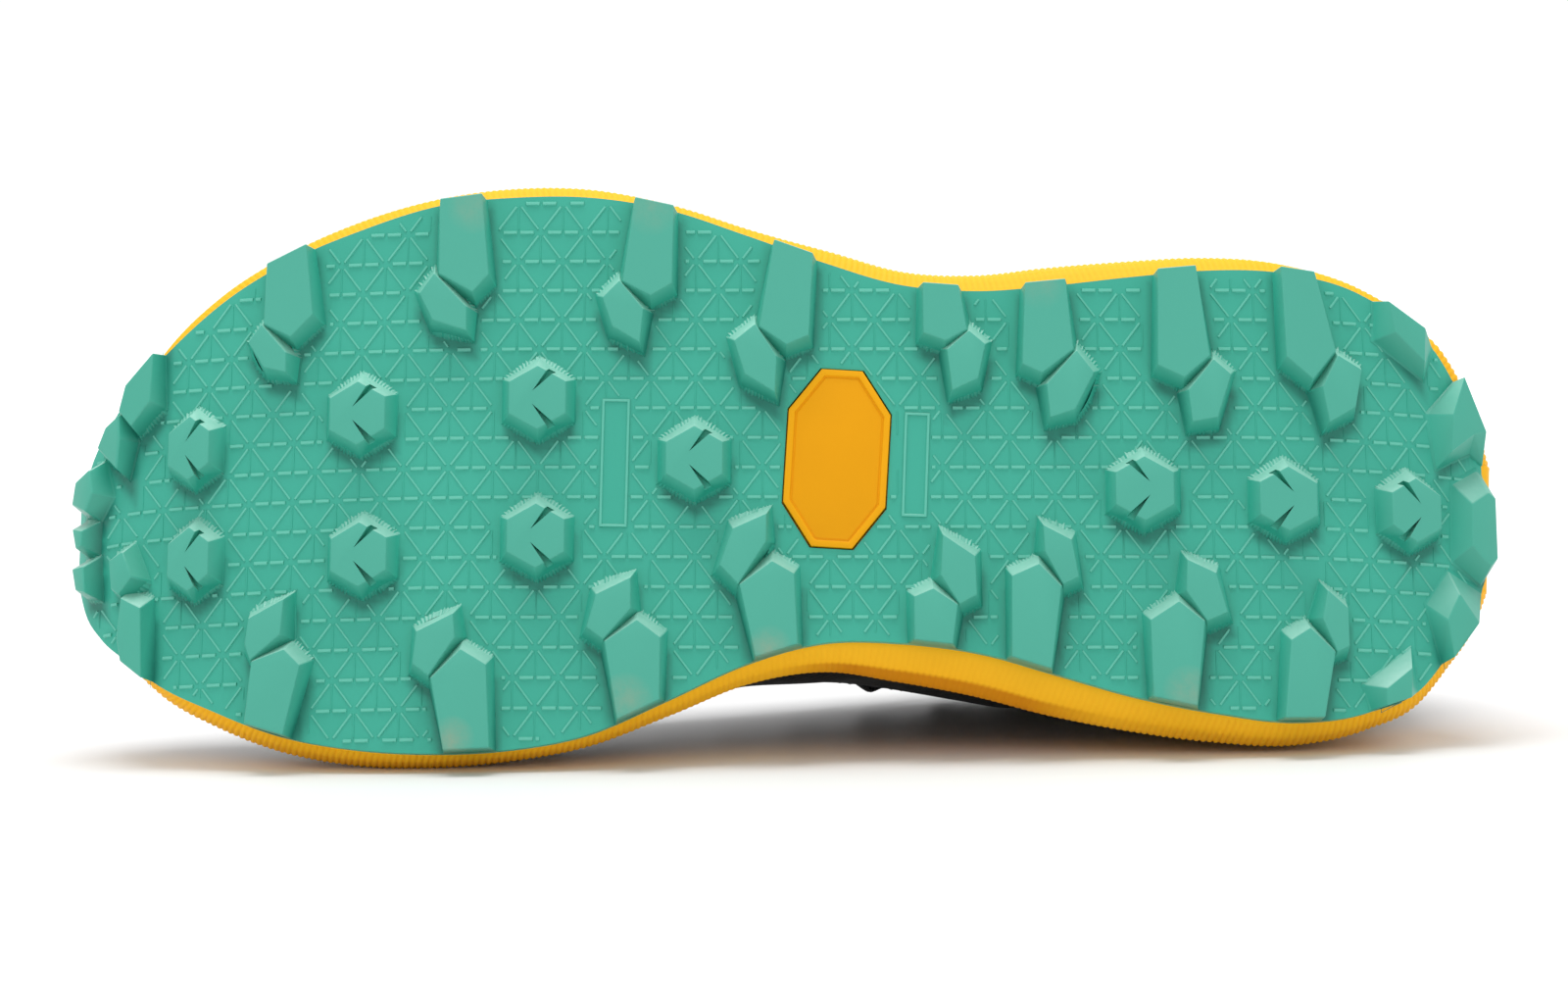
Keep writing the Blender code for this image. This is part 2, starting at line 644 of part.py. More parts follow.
def overlay(name, places, low, high, steps, parts):
    """A thin panel over the upper: low and high give the share up the rib at each station."""
    sides = [[], []]
    for along, side in places:
        start, end = low(along, side), high(along, side)
        shares = [start + (end - start) * k / steps for k in range(steps + 1)]
        for grid, out in zip(sides, (OVERLAY_GAP + OVERLAY, OVERLAY_GAP)):
            grid.append([on_upper(along, side, up, out) for up in shares])
    return add_object(name, shell(name, *sides, closed=False), parts)


def make_toe_cap(parts):
    def high(along, side):
        share = min((along - TOE_CAP_START) / TOE_CAP_CLIMB, 1)
        return TOE_CAP_LOW + TOE_CAP_RISE * math.sin(math.pi / 2 * share)

    places = [along for along in stations(TOP_LINE, 1) if along > TOE_CAP_START]
    places = [(TOE_CAP_START, 1), *loop(places), (TOE_CAP_START, -1)]
    return overlay("toe_cap", places, lambda along, side: OVERLAY_FOOT, high, 5, parts)


def make_heel_counter(parts):
    def high(along, side):
        return COUNTER_TOP - COUNTER_FALL * (along / COUNTER_END) ** 1.5

    places = [along for along in stations(TOP_LINE, 1) if along < COUNTER_END]
    right_round = [(along, -1) for along in reversed(places)] + [(along, 1) for along in places]
    places = [(COUNTER_END, -1), *right_round, (COUNTER_END, 1)]
    return overlay("heel_counter", places, lambda along, side: OVERLAY_FOOT, high, 5, parts)


def make_eyestay(parts):
    def low(along, side):
        return 1 - EYESTAY_WIDTH / rib_length(along, side)

    def high(along, side):
        return 1 - EYESTAY_INSET / rib_length(along, side)

    places = [along for along in stations(TOP_LINE, 1) if along > EYESTAY_START]
    places = [(EYESTAY_START, 1), *loop(places), (EYESTAY_START, -1)]
    return overlay("eyestay", places, low, high, 3, parts)


def rod(low, high, radius):
    """An eight-sided rod between two points."""
    body = bmesh.new()
    length = (high - low).length
    bmesh.ops.create_cone(
        body, cap_ends=True, segments=8, radius1=radius, radius2=radius, depth=length,
    )
    turn = (high - low).to_track_quat("Z", "Y").to_matrix().to_4x4()
    body.transform(Matrix.Translation((low + high) / 2) @ turn)
    mesh = bpy.data.meshes.new("rod")
    body.to_mesh(mesh)
    body.free()
    return mesh


def cut_eyelets(pieces, helpers):
    """Round holes through upper and eyestay, square to the surface."""
    holes = collection_named("eyelets", helpers)
    for number, along in enumerate(EYELETS):
        for side in (1, -1):
            up = 1 - EYELET_INSET / rib_length(along, side)
            low, high = on_upper(along, side, up, -3 * WALL), on_upper(along, side, up, 3 * WALL)
            hole = add_object(f"eyelet_{number}_{side}", rod(low, high, EYELET / 2), holes)
            hole.hide_render = True
            hole.display_type = "WIRE"
    for piece in pieces:
        boolean(piece, "DIFFERENCE", holes)


def make_insole(parts):
    rings = []
    inset = FEATHER_STEP + WALL + 3 * GAP
    for height in (GAP, GAP + INSOLE * 0.6, GAP + INSOLE):
        ring_inset = inset + (0.0006 if height > INSOLE else 0)
        rings.append([
            side_point(along, side, rim_out(along, side) - ring_inset, rim_height(along) + height)
            for along, side in loop(stations(OUTLINE))
        ])
    return add_object("insole", stacked("insole", rings), parts)


def tongue_section(along, wing, out):
    """Points across the tongue at a station: a wing under each edge of the throat, and the crown."""
    def under_edge(side, share):
        return on_upper(along, side, 1 - wing * share / rib_length(along, side), out)

    lateral = [under_edge(1, share) for share in (1, 0.5)]
    crown = [on_bridge(along, k / 7, out) for k in range(8)]
    medial = [under_edge(-1, share) for share in (0.5, 1)]
    return lateral + crown + medial


def make_tongue(parts):
    """The tongue follows the throat under its edges, and its top stands free above the top eyelets."""
    grids = []
    for depth in (WALL + TONGUE_GAP, WALL + TONGUE_GAP + TONGUE):
        first = tongue_section(TONGUE_STATIONS[0], TONGUE_WING * 0.5, -depth)
        ahead = tongue_section(TONGUE_STATIONS[1], TONGUE_WING * 0.5, -depth)
        run = (first[5] - ahead[5]).normalized()
        run = (run + Vector((0, 0, 0.35))).normalized() * TONGUE_TOP
        middle = (first[0] + first[-1]) / 2
        grid = [
            [middle + (point - middle) * (1 - TONGUE_TAPER * share**0.5) + run * share for point in first]
            for share in (1.0, 0.55, 0.2)
        ]
        grid += [tongue_section(along, TONGUE_WING, -depth) for along in TONGUE_STATIONS]
        grids.append(grid)
    return add_object("tongue", shell("tongue", *grids, closed=False), parts)


def lace_bar(name, start, end, side, helpers):
    """One flat run of lace, from an eyelet on one side over the throat to an eyelet on the other."""
    lift = OVERLAY_GAP + OVERLAY + GAP + SLIT + (LACE_THICK * 0.35 if side < 0 else 0)
    path = []
    for share, across in LACE_PATH:
        along = start + (end - start) * share
        if across <= 1:
            near = EYELET_INSET / rib_length(along, side)
            place = (along, side, 1 - near * (1 - across))
            path.append([on_upper(*place, out) for out in (lift, lift + LACE_THICK)])
        elif across >= 2:
            near = EYELET_INSET / rib_length(along, -side)
            place = (along, -side, 1 - near * (across - 2))
            path.append([on_upper(*place, out) for out in (lift, lift + LACE_THICK)])
        else:
            over = across - 1 if side > 0 else 2 - across
            path.append([on_bridge(along, over, out) for out in (lift, lift + LACE_THICK)])
    points, faces = [], []
    for k, (low, high) in enumerate(path):
        run = path[min(k + 1, len(path) - 1)][0] - path[max(k - 1, 0)][0]
        sideways = run.cross(high - low).normalized() * LACE_WIDTH / 2
        points += [low - sideways, low + sideways, high + sideways, high - sideways]
    for k in range(len(path) - 1):
        a, b = 4 * k, 4 * k + 4
        faces += [(a + j, a + (j + 1) % 4, b + (j + 1) % 4, b + j) for j in range(4)]
    faces += [(0, 1, 2, 3), (len(points) - 4, len(points) - 3, len(points) - 2, len(points) - 1)]
    return add_object(name, mesh_of(name, points, faces), helpers)


def make_lace(parts, helpers):
    """Runs that cross from eyelet to eyelet up the throat, joined where they cross and at the eyelets."""
    runs = collection_named("lace_runs", helpers)
    lace = lace_bar("lace", EYELETS[-1], EYELETS[-1], 1, parts)
    for number, (low, high) in enumerate(zip(EYELETS[1:], EYELETS[:-1])):
        for side in (1, -1):
            piece = lace_bar(f"lace_run_{number}_{side}", low, high, side, runs)
            piece.hide_render = True
            piece.display_type = "WIRE"
    for along in EYELETS:
        for side in (1, -1):
            up = 1 - EYELET_INSET / rib_length(along, side)
            low = on_upper(along, side, up, OVERLAY_GAP + OVERLAY + GAP)
            high = on_upper(along, side, up, LACE_TOP)
            fold = add_object(f"lace_fold_{along}_{side}", rod(low, high, LACE_WIDTH * 0.62), runs)
            fold.hide_render = True
            fold.display_type = "WIRE"
    boolean(lace, "UNION", runs)
    return lace


def solid_points(obj, graph):
    """The finished piece's points and triangles."""
    mesh = obj.evaluated_get(graph).to_mesh()
    mesh.calc_loop_triangles()
    points = np.array([vert.co[:] for vert in mesh.vertices])
    return points, np.array([triangle.vertices[:] for triangle in mesh.loop_triangles])


def weight_centre(pieces, graph):
    """The centre of all pieces, each weighed by its own volume and density."""
    total, moment = 0.0, np.zeros(3)
    for obj in pieces:
        points, triangles = solid_points(obj, graph)
        corners = points[triangles]
        volumes = np.linalg.det(corners) / 6 * DENSITY[obj.name]
        total += volumes.sum()
        moment += (corners.sum(axis=1) / 4 * volumes[:, None]).sum(axis=0)
    return Vector(moment / total)


def lay_on_side(pieces, carrier):
    """Turns the shoe so that it lies on the medial face of its hull under its weight, sole towards -Y."""
    bpy.context.view_layer.update()
    graph = bpy.context.evaluated_depsgraph_get()
    centre = weight_centre(pieces, graph)
    everything = np.concatenate([solid_points(obj, graph)[0] for obj in pieces])
    hull = bmesh.new()
    for point in everything:
        hull.verts.new(point)
    bmesh.ops.convex_hull(hull, input=hull.verts, use_existing_faces=False)
    down = None
    for face in hull.faces:
        normal = face.normal if (face.verts[0].co - centre).dot(face.normal) > 0 else -face.normal
        if normal.y > -0.7:
            continue
        foot = centre + normal * (face.verts[0].co - centre).dot(normal)
        corners = [loop_.vert.co - foot for loop_ in face.loops]
        turns = [normal.dot(a.cross(b)) for a, b in zip(corners, corners[1:] + corners[:1])]
        if min(turns) >= 0 or max(turns) <= 0:
            down = normal
    hull.free()
    level = Vector((1, 0, 0)) - down * down.x
    level.normalize()
    forward = level.cross(-down)
    turn = Matrix((-level, forward, -down)).to_4x4()
    turned = everything @ np.array(turn.to_3x3()).T
    low, high = turned.min(axis=0), turned.max(axis=0)
    middle = (low + high) / 2
    carrier.matrix_world = Matrix.Translation((-middle[0], -middle[1], -low[2])) @ turn


def paint(obj):
    """Gives a piece its own plain material."""
    look = MATERIALS[obj.name]
    material = bpy.data.materials.new(obj.name)
    material.use_nodes = True
    shader = material.node_tree.nodes["Principled BSDF"]
    shader.inputs["Base Color"].default_value = (*look.colour, 1)
    shader.inputs["Roughness"].default_value = look.roughness
    shader.inputs["Metallic"].default_value = 0
    obj.data.materials.append(material)


def main():
    for old in list(bpy.data.objects):
        bpy.data.objects.remove(old)
    scene = bpy.context.scene.collection
    parts = collection_named("trail_running_shoe", scene)
    helpers = collection_named("cutters", scene)
    outsole = make_outsole(parts, helpers)
    badge = make_badge_plate(parts)
    midsole = make_midsole(parts)
    upper = make_upper(parts)
    toe_cap = make_toe_cap(parts)
    counter = make_heel_counter(parts)
    eyestay = make_eyestay(parts)
    cut_eyelets((upper, eyestay), helpers)
    pieces = [outsole, badge, midsole, upper, toe_cap, counter, eyestay]
    pieces += [make_insole(parts), make_tongue(parts), make_lace(parts, helpers)]
    for piece in pieces:
        paint(piece)
    carrier = bpy.data.objects.new("shoe_axes", None)
    scene.objects.link(carrier)
    for obj in [*parts.all_objects, *helpers.all_objects]:
        obj.parent = carrier
    lay_on_side(pieces, carrier)


main()
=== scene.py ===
"""Looks for a left trail running shoe that lies on its medial side, with its lugged sole towards the camera.

Pieces are shaped in the shoe's own axes: x from heel to toe, y towards the lateral side, z up from the
ground under its lugs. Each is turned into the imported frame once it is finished.
"""
import functools
import json
import math
from collections import namedtuple

import bmesh
import bpy
import numpy as np
from mathutils import Matrix, Vector, noise


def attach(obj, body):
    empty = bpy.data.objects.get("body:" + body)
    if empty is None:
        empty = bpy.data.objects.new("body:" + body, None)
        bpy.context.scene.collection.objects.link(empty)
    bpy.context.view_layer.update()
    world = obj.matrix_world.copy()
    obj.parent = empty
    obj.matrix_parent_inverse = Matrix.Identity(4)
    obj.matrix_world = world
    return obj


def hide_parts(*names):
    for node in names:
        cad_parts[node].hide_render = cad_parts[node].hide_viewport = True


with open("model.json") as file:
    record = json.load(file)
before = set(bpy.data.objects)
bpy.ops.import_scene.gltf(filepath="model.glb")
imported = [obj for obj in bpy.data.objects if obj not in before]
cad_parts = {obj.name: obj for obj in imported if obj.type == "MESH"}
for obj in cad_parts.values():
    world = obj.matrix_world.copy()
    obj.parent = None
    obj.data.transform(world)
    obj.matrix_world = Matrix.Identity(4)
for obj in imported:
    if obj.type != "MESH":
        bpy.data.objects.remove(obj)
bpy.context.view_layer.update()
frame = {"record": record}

# The sole's sizes, in metres, as in the CAD source.
LENGTH = 0.305
BALL_WIDTH = 0.120
HEEL_STACK = 0.0365
RUBBER = 0.0018
LUG_DEPTH = 0.005
LUG_WIDTH = 0.0108
RIM_LUG_SHARE = 0.9
LUG_DRAFT = 0.0018
HEX_WIDTH = 0.0120
SIDE_FLARE = 0.0076
SIDE_LEAN = 0.0100
RIDGE_RISE = 0.0075
INSTEP_HEIGHT = 0.112
FEATHER_STEP = 0.0030
WALL = 0.0020
COLLAR_PAD = 0.0032
OVERLAY = 0.0010
OVERLAY_GAP = 0.0004
THROAT_SHIFT = 0.0020
INSOLE = 0.0040
TONGUE = 0.0035
TONGUE_WING = 0.0090
TONGUE_TOP = 0.0200
TONGUE_GAP = 0.0009
EYELET = 0.0044
EYELET_INSET = 0.0075
LACE_WIDTH = 0.0060
LACE_THICK = 0.0012
BADGE_WIDTH = 0.0217
BADGE_LENGTH = 0.0387
BADGE_RISE = 0.0006
GAP = 0.0003

# Sizes that only the looks have.
SKIRT = 0.0005
LEE = 0.6
SKIRT_PITCH = 0.00030
SKIRT_SHORT = 0.0002
SKIRT_LONG = 0.0013
SKIRT_RISE = 0.0011
LUG_EDGE = 0.00028
ROPE_PITCH = 0.00135
ROPE_DEPTH = 0.00038
LATTICE_ALONG = 0.00955
LATTICE_ACROSS = 0.00649
LATTICE_START = (0.2029, 0.0582)
MESH_PITCH = 0.0021
BASE_FOOT = 0.0006
ROOT_SINK = 0.00008
HEEL_SPREAD = 1.9
CREASE_BOW = 0.0035

# Where the panels over the upper begin and end, as shares of the length or of the way up.
TOE_CAP_START = 0.80
COUNTER_END = 0.17
STAY_START = 0.410
COLLAR_END = 0.400
PANEL_LOW = 0.012

# Bends of the midsole's side: shares of the way from its foot out to the ridge, and from there in to the rim.
FACET_OUT = 0.70
FACET_RISE = 0.40
WALL_IN = 0.42
WALL_RISE = 0.55

# Strokes of the lattice: width and height of a dash, of a slanted stroke on either side, and of a hair line.
DASH = (0.00074, 0.00038)
SLANTS = {1: (0.00050, 0.00026), -1: (0.00042, 0.00026 - 0.00003)}
HAIR = (0.00030, 0.00012)
DASH_START = 0.0015
DASH_GAP = 0.0003

# Colours: rubber from dark to light and what is laid over it, then foam and badge. Over the rubber lie
# painted shade on flanks and on slopes that face down, painted shadow below the lugs, painted highlight on
# upward slopes and raised strokes, and real dust; the foam has painted shade in its grooves and in the arch's
# hollow.
TEAL = ((0.030, 0.385, 0.278), (0.044, 0.440, 0.322))
FLANK_SHADE_TEAL = (0.024, 0.370, 0.250)
SHADOW_TEAL = (0.008, 0.180, 0.130)
SHADED_TEAL = (0.010, 0.235, 0.165)
STROKE_HIGHLIGHT_TEAL = (0.190, 0.620, 0.490)
TOP_TEAL = (0.072, 0.400, 0.300)
SLOPE_HIGHLIGHT_TEAL = (0.42, 0.72, 0.61)
DUST = (0.40, 0.36, 0.25)
FOAM = ((0.98, 0.475, 0.010), (0.98, 0.520, 0.018))
FOAM_GROOVE_SHADE = (0.84, 0.33, 0.002)
FOAM_ARCH_SHADE = (0.62, 0.20, 0.001)
AMBER = ((0.80, 0.340, 0.001), (0.84, 0.365, 0.001))
AMBER_RIM = (0.90, 0.43, 0.004)

# Camera, floor and light.
CAMERA_TILT = 13
CAMERA_AIM = (0.1506, -0.0020, 0)
CAMERA_AWAY = 0.9
LENS = 98
FLOOR_WHITE = ((0.865, 0.865, 0.865), (0.875, 0.875, 0.875))
FLOOR_GLOW = (0.42, 0.42, 0.42)
GLOW_FROM = 0.4
PANEL_PLACE = (-0.10, 0.20, 1.60)
PANEL_AIM = (0, -0.02, 0.05)
PANEL_SIZE = (1.2, 1.0)
PANEL_POWER = 21
TENT_LIGHT = 0.82
TENT_SEEN = 1.06

SlopeRow = namedtuple("SlopeRow", "along slope")
SOLE_LINE = tuple(SlopeRow(*row) for row in (
    (0.000, -36), (0.020, -27), (0.060, -17), (0.100, -12), (0.150, -6), (0.190, 0), (0.620, 0),
    (0.700, 2), (0.790, 8), (0.910, 16), (0.955, 30), (0.985, 50), (1.000, 70),
))

OutlineRow = namedtuple("OutlineRow", "along lateral medial")
OUTLINE = tuple(OutlineRow(*row) for row in (
    (0.000, 0.083, 0.125), (0.010, 0.172, 0.188), (0.030, 0.275, 0.267), (0.049, 0.320, 0.329),
    (0.089, 0.381, 0.381), (0.141, 0.411, 0.403), (0.197, 0.414, 0.388), (0.250, 0.402, 0.361),
    (0.305, 0.386, 0.321), (0.357, 0.376, 0.283), (0.413, 0.388, 0.264), (0.466, 0.429, 0.264),
    (0.521, 0.480, 0.303), (0.574, 0.526, 0.366), (0.630, 0.550, 0.428), (0.682, 0.551, 0.453),
    (0.738, 0.537, 0.459), (0.793, 0.496, 0.448), (0.846, 0.443, 0.419), (0.892, 0.375, 0.371),
    (0.931, 0.292, 0.320), (0.957, 0.228, 0.268), (0.977, 0.163, 0.221), (0.991, 0.103, 0.167),
    (1.000, 0.040, 0.100),
))

SideRow = namedtuple("SideRow", "along lateral medial lean rise rim")
SIDE = tuple(SideRow(*row) for row in (
    (0.000, 0.64, 0.42, 1.00, 1.00, 1.18), (0.050, 0.61, 0.27, 1.00, 1.00, 1.12),
    (0.100, 0.56, 0.34, 1.00, 1.00, 1.07), (0.141, 0.64, 0.46, 1.00, 1.00, 1.03),
    (0.197, 0.75, 0.62, 0.98, 1.00, 1.00), (0.250, 0.83, 0.76, 0.92, 1.00, 0.98),
    (0.305, 0.90, 0.95, 0.83, 1.00, 0.97), (0.357, 0.83, 1.00, 0.73, 1.00, 0.96),
    (0.413, 0.76, 0.88, 0.63, 1.00, 0.93), (0.466, 0.72, 0.60, 0.56, 1.00, 0.89),
    (0.521, 0.55, 0.34, 0.51, 1.00, 0.85), (0.574, 0.52, 0.22, 0.50, 1.00, 0.81),
    (0.630, 0.62, 0.12, 0.50, 1.00, 0.78), (0.682, 0.66, 0.12, 0.50, 1.00, 0.755),
    (0.738, 0.60, 0.20, 0.50, 1.00, 0.745), (0.793, 0.66, 0.27, 0.48, 1.00, 0.765),
    (0.846, 0.62, 0.27, 0.45, 1.00, 0.82), (0.892, 0.58, 0.26, 0.42, 0.95, 0.88),
    (0.931, 0.46, 0.18, 0.38, 0.80, 0.95), (0.957, 0.20, 0.08, 0.34, 0.60, 1.02),
    (0.977, 0.06, 0.03, 0.32, 0.42, 1.08), (1.000, 0.00, 0.00, 0.30, 0.26, 1.15),
))

TopRow = namedtuple("TopRow", "along place half height rise out arrival reach")
TOP_LINE = tuple(TopRow(*row) for row in (
    (0.000, 0.042, 0.050, 0.950, 0.210, 18, 88, 0.18), (0.010, 0.043, 0.085, 0.945, 0.210, 18, 88, 0.18),
    (0.030, 0.050, 0.140, 0.930, 0.200, 16, 86, 0.17), (0.049, 0.062, 0.180, 0.905, 0.190, 14, 84, 0.16),
    (0.089, 0.092, 0.228, 0.860, 0.180, 10, 80, 0.15), (0.141, 0.136, 0.258, 0.805, 0.170, 8, 76, 0.14),
    (0.197, 0.188, 0.268, 0.775, 0.160, 7, 74, 0.13), (0.250, 0.236, 0.262, 0.790, 0.160, 6, 72, 0.14),
    (0.305, 0.278, 0.246, 0.850, 0.170, 5, 68, 0.17), (0.357, 0.312, 0.222, 0.940, 0.190, 4, 62, 0.20),
    (0.413, 0.345, 0.185, 1.000, 0.200, 4, 50, 0.22), (0.466, 0.400, 0.165, 0.940, 0.200, 5, 42, 0.22),
    (0.521, 0.455, 0.155, 0.865, 0.200, 6, 38, 0.21), (0.574, 0.508, 0.146, 0.790, 0.190, 7, 35, 0.21),
    (0.630, 0.556, 0.136, 0.725, 0.190, 8, 32, 0.21), (0.682, 0.594, 0.124, 0.680, 0.190, 8, 28, 0.22),
    (0.738, 0.621, 0.104, 0.650, 0.180, 8, 24, 0.26), (0.793, 0.635, 0.078, 0.636, 0.175, 9, 20, 0.33),
    (0.846, 0.642, 0.056, 0.630, 0.170, 10, 18, 0.38), (0.892, 0.646, 0.040, 0.627, 0.170, 11, 17, 0.42),
    (0.931, 0.648, 0.029, 0.625, 0.170, 12, 16, 0.45), (0.957, 0.649, 0.021, 0.624, 0.170, 12, 16, 0.47),
    (0.977, 0.650, 0.014, 0.624, 0.170, 12, 16, 0.48), (1.000, 0.651, 0.005, 0.624, 0.170, 12, 16, 0.49),
))

# Lug pairs along both edges: a bar's tip, then its other corners and those of the flake beside it, in lug
# widths from the tip: reach towards the flake, depth towards the middle of the shoe. The bar's ends lie on
# the edge.
PairRow = namedtuple("PairRow", "side along across facing near far ends flake")
LUG_PAIRS = tuple(PairRow(*row) for row in (
    (1, 0.837, 0.293, 1, (0.54, -0.29), (-0.43, -0.44), (0.51, -0.26),
     ((0.58, -0.28), (0.09, 0.32), (0.08, 0.72), (0.52, 0.60), (0.84, 0.07))),
    (1, 0.711, 0.365, 1, (0.66, -0.39), (-0.31, -0.36), (0.66, -0.15),
     ((0.75, -0.39), (0.12, 0.30), (0.11, 0.79), (0.77, 0.56), (1.03, 0.02))),
    (1, 0.587, 0.357, 1, (0.56, -0.30), (-0.42, -0.25), (0.32, -0.44),
     ((0.62, -0.30), (0.15, 0.28), (0.21, 0.96), (0.75, 0.63), (0.95, 0.05))),
    (1, 0.492, 0.267, 1, (0.54, -0.37), (-0.44, -0.19), (0.24, -0.52),
     ((0.62, -0.41), (0.20, 0.25), (0.23, 0.97), (0.82, 0.60), (1.03, -0.07))),
    (1, 0.381, 0.274, -1, (0.42, -0.23), (-0.44, -0.16), (0.26, -0.44),
     ((0.46, -0.20), (0.03, 0.19), (0.12, 1.01), (0.63, 0.77), (0.78, 0.08))),
    (1, 0.314, 0.215, -1, (0.62, -0.48), (-0.39, -0.18), (0.48, -0.31),
     ((0.68, -0.45), (0.09, 0.23), (0.15, 0.90), (0.64, 0.74), (1.02, 0.00))),
    (1, 0.215, 0.207, -1, (0.51, -0.44), (-0.52, -0.25), (0.27, -0.48),
     ((0.58, -0.36), (0.08, 0.26), (0.14, 0.90), (0.64, 0.81), (0.91, -0.05))),
    (1, 0.127, 0.207, -1, (0.45, -0.60), (-0.51, -0.44), (0.08, -0.57),
     ((0.50, -0.50), (0.18, 0.16), (0.30, 0.86), (0.81, 0.53), (0.95, -0.23))),
    (-1, 0.836, 0.275, 1, (0.63, -0.22), (-0.32, -0.33), (0.74, -0.02),
     ((0.66, -0.18), (0.08, 0.30), (0.03, 1.00), (0.71, 0.64), (0.77, 0.14))),
    (-1, 0.715, 0.282, 1, (0.56, -0.57), (-0.49, -0.31), (0.30, -0.57),
     ((0.61, -0.51), (0.12, 0.23), (0.16, 0.71), (0.85, 0.36), (0.92, -0.27))),
    (-1, 0.595, 0.231, 1, (0.62, -0.43), (-0.46, -0.35), (0.36, -0.45),
     ((0.65, -0.38), (0.12, 0.23), (0.13, 0.84), (0.79, 0.51), (0.97, -0.14))),
    (-1, 0.502, 0.126, 1, (0.63, -0.47), (-0.43, -0.25), (0.32, -0.50),
     ((0.66, -0.45), (0.12, 0.39), (0.11, 0.95), (0.76, 0.65), (1.02, -0.07))),
    (-1, 0.391, 0.175, -1, (0.47, -0.32), (-0.37, -0.16), (0.37, -0.37),
     ((0.51, -0.30), (0.15, 0.27), (0.20, 1.07), (0.82, 0.64), (0.85, -0.12))),
    (-1, 0.318, 0.131, -1, (0.43, -0.45), (-0.53, -0.24), (0.22, -0.55),
     ((0.47, -0.40), (0.12, 0.25), (0.10, 0.77), (0.64, 0.48), (0.77, -0.25))),
    (-1, 0.222, 0.198, -1, (0.49, -0.40), (-0.56, -0.37), (0.31, -0.53),
     ((0.54, -0.38), (0.15, 0.21), (0.18, 0.83), (0.73, 0.56), (0.94, -0.21))),
    (-1, 0.134, 0.243, -1, (0.47, -0.46), (-0.37, -0.25), (0.24, -0.51),
     ((0.51, -0.45), (0.25, 0.19), (0.36, 0.76), (0.74, 0.41), (0.75, -0.33))),
))

HexRow = namedtuple("HexRow", "along across length")
HEXES = tuple(HexRow(*row) for row in (
    (0.907, 0.099, 0.72), (0.905, -0.104, 0.72), (0.789, 0.147, 0.97), (0.786, -0.109, 0.97),
    (0.665, 0.170, 1.0), (0.665, -0.080, 1.0), (0.556, 0.060, 1.0), (0.244, 0.005, 1.02),
    (0.146, -0.012, 0.98), (0.058, -0.022, 0.86),
))
RIM_LUGS = (
    ((0.935, 0.297), (0.954, 0.229), (0.958, 0.183), (0.949, 0.152), (0.936, 0.194)),
    ((0.958, 0.174), (0.967, 0.155), (0.972, 0.122), (0.958, 0.076), (0.957, 0.130)),
    ((0.978, 0.084), (0.988, 0.068), (0.990, 0.030), (0.980, 0.010), (0.975, 0.041)),
    ((0.961, -0.093), (0.952, -0.079), (0.945, -0.126), (0.954, -0.155), (0.959, -0.143)),
    ((0.952, -0.163), (0.938, -0.185), (0.936, -0.327), (0.951, -0.277), (0.954, -0.234)),
    ((0.989, -0.017), (0.982, -0.026), (0.982, -0.052), (0.986, -0.055)),
    ((0.988, -0.092), (0.980, -0.093), (0.978, -0.141), (0.985, -0.132)),
    ((0.072, 0.369), (0.047, 0.322), (0.048, 0.254), (0.068, 0.304)),
    ((0.020, 0.239), (0.006, 0.167), (0.015, 0.129), (0.031, 0.093), (0.029, 0.160)),
    ((0.018, 0.000), (0.006, 0.025), (0.001, 0.016), (0.001, -0.092), (0.006, -0.108), (0.019, -0.075)),
    ((0.029, -0.167), (0.016, -0.236), (0.026, -0.270), (0.034, -0.302), (0.038, -0.217)),
    ((0.064, -0.306), (0.065, -0.364), (0.082, -0.385), (0.082, -0.345)),
)
HEEL_RIM = (7, 8, 9, 10, 11)
BADGE_ALONG = 0.4569
BADGE_ACROSS = 0.068
BADGE_TURN = 3.5
BADGE_CORNERS = (
    (0.40, 1.0), (1.0, 0.52), (1.0, -0.52), (0.40, -1.0),
    (-0.40, -1.0), (-1.0, -0.52), (-1.0, 0.52), (-0.40, 1.0),
)

# Dried dust on the ends of some bars: share along, share across, radius and strength.
SMUDGES = (
    (0.720, -0.440, 0.0050, 1.0), (0.602, -0.372, 0.0060, 0.8), (0.504, -0.280, 0.0050, 0.8),
    (0.217, -0.355, 0.0055, 0.8), (0.711, 0.520, 0.0060, 0.5), (0.587, 0.515, 0.0060, 0.4),
    (0.314, 0.370, 0.0050, 0.4),
)

# Two bare label plates beside the badge: middle, size and turn in degrees.
LabelRow = namedtuple("LabelRow", "x y wide long turn")
LABELS = (
    LabelRow(0.1866, 0.0072, 0.0059, 0.0279, 1.0),
    LabelRow(0.1226, 0.0068, 0.0053, 0.0227, 2.2),
)

# A lace run, as shares of its way up the throat and across it: 0 and 3 are eyelets, 1 and 2 the throat's
# edges.
LACE_PATH = (
    (0.0, 0.0), (0.08, 1.0), (0.25, 1.22), (0.42, 1.40), (0.58, 1.60), (0.75, 1.78), (0.92, 2.0), (1.0, 3.0),
)
EYELETS = (0.432, 0.484, 0.536, 0.588, 0.640, 0.690)
TONGUE_STATIONS = (
    0.420, 0.450, 0.485, 0.520, 0.555, 0.590, 0.625, 0.660, 0.695, 0.735, 0.780, 0.830, 0.880, 0.925,
)

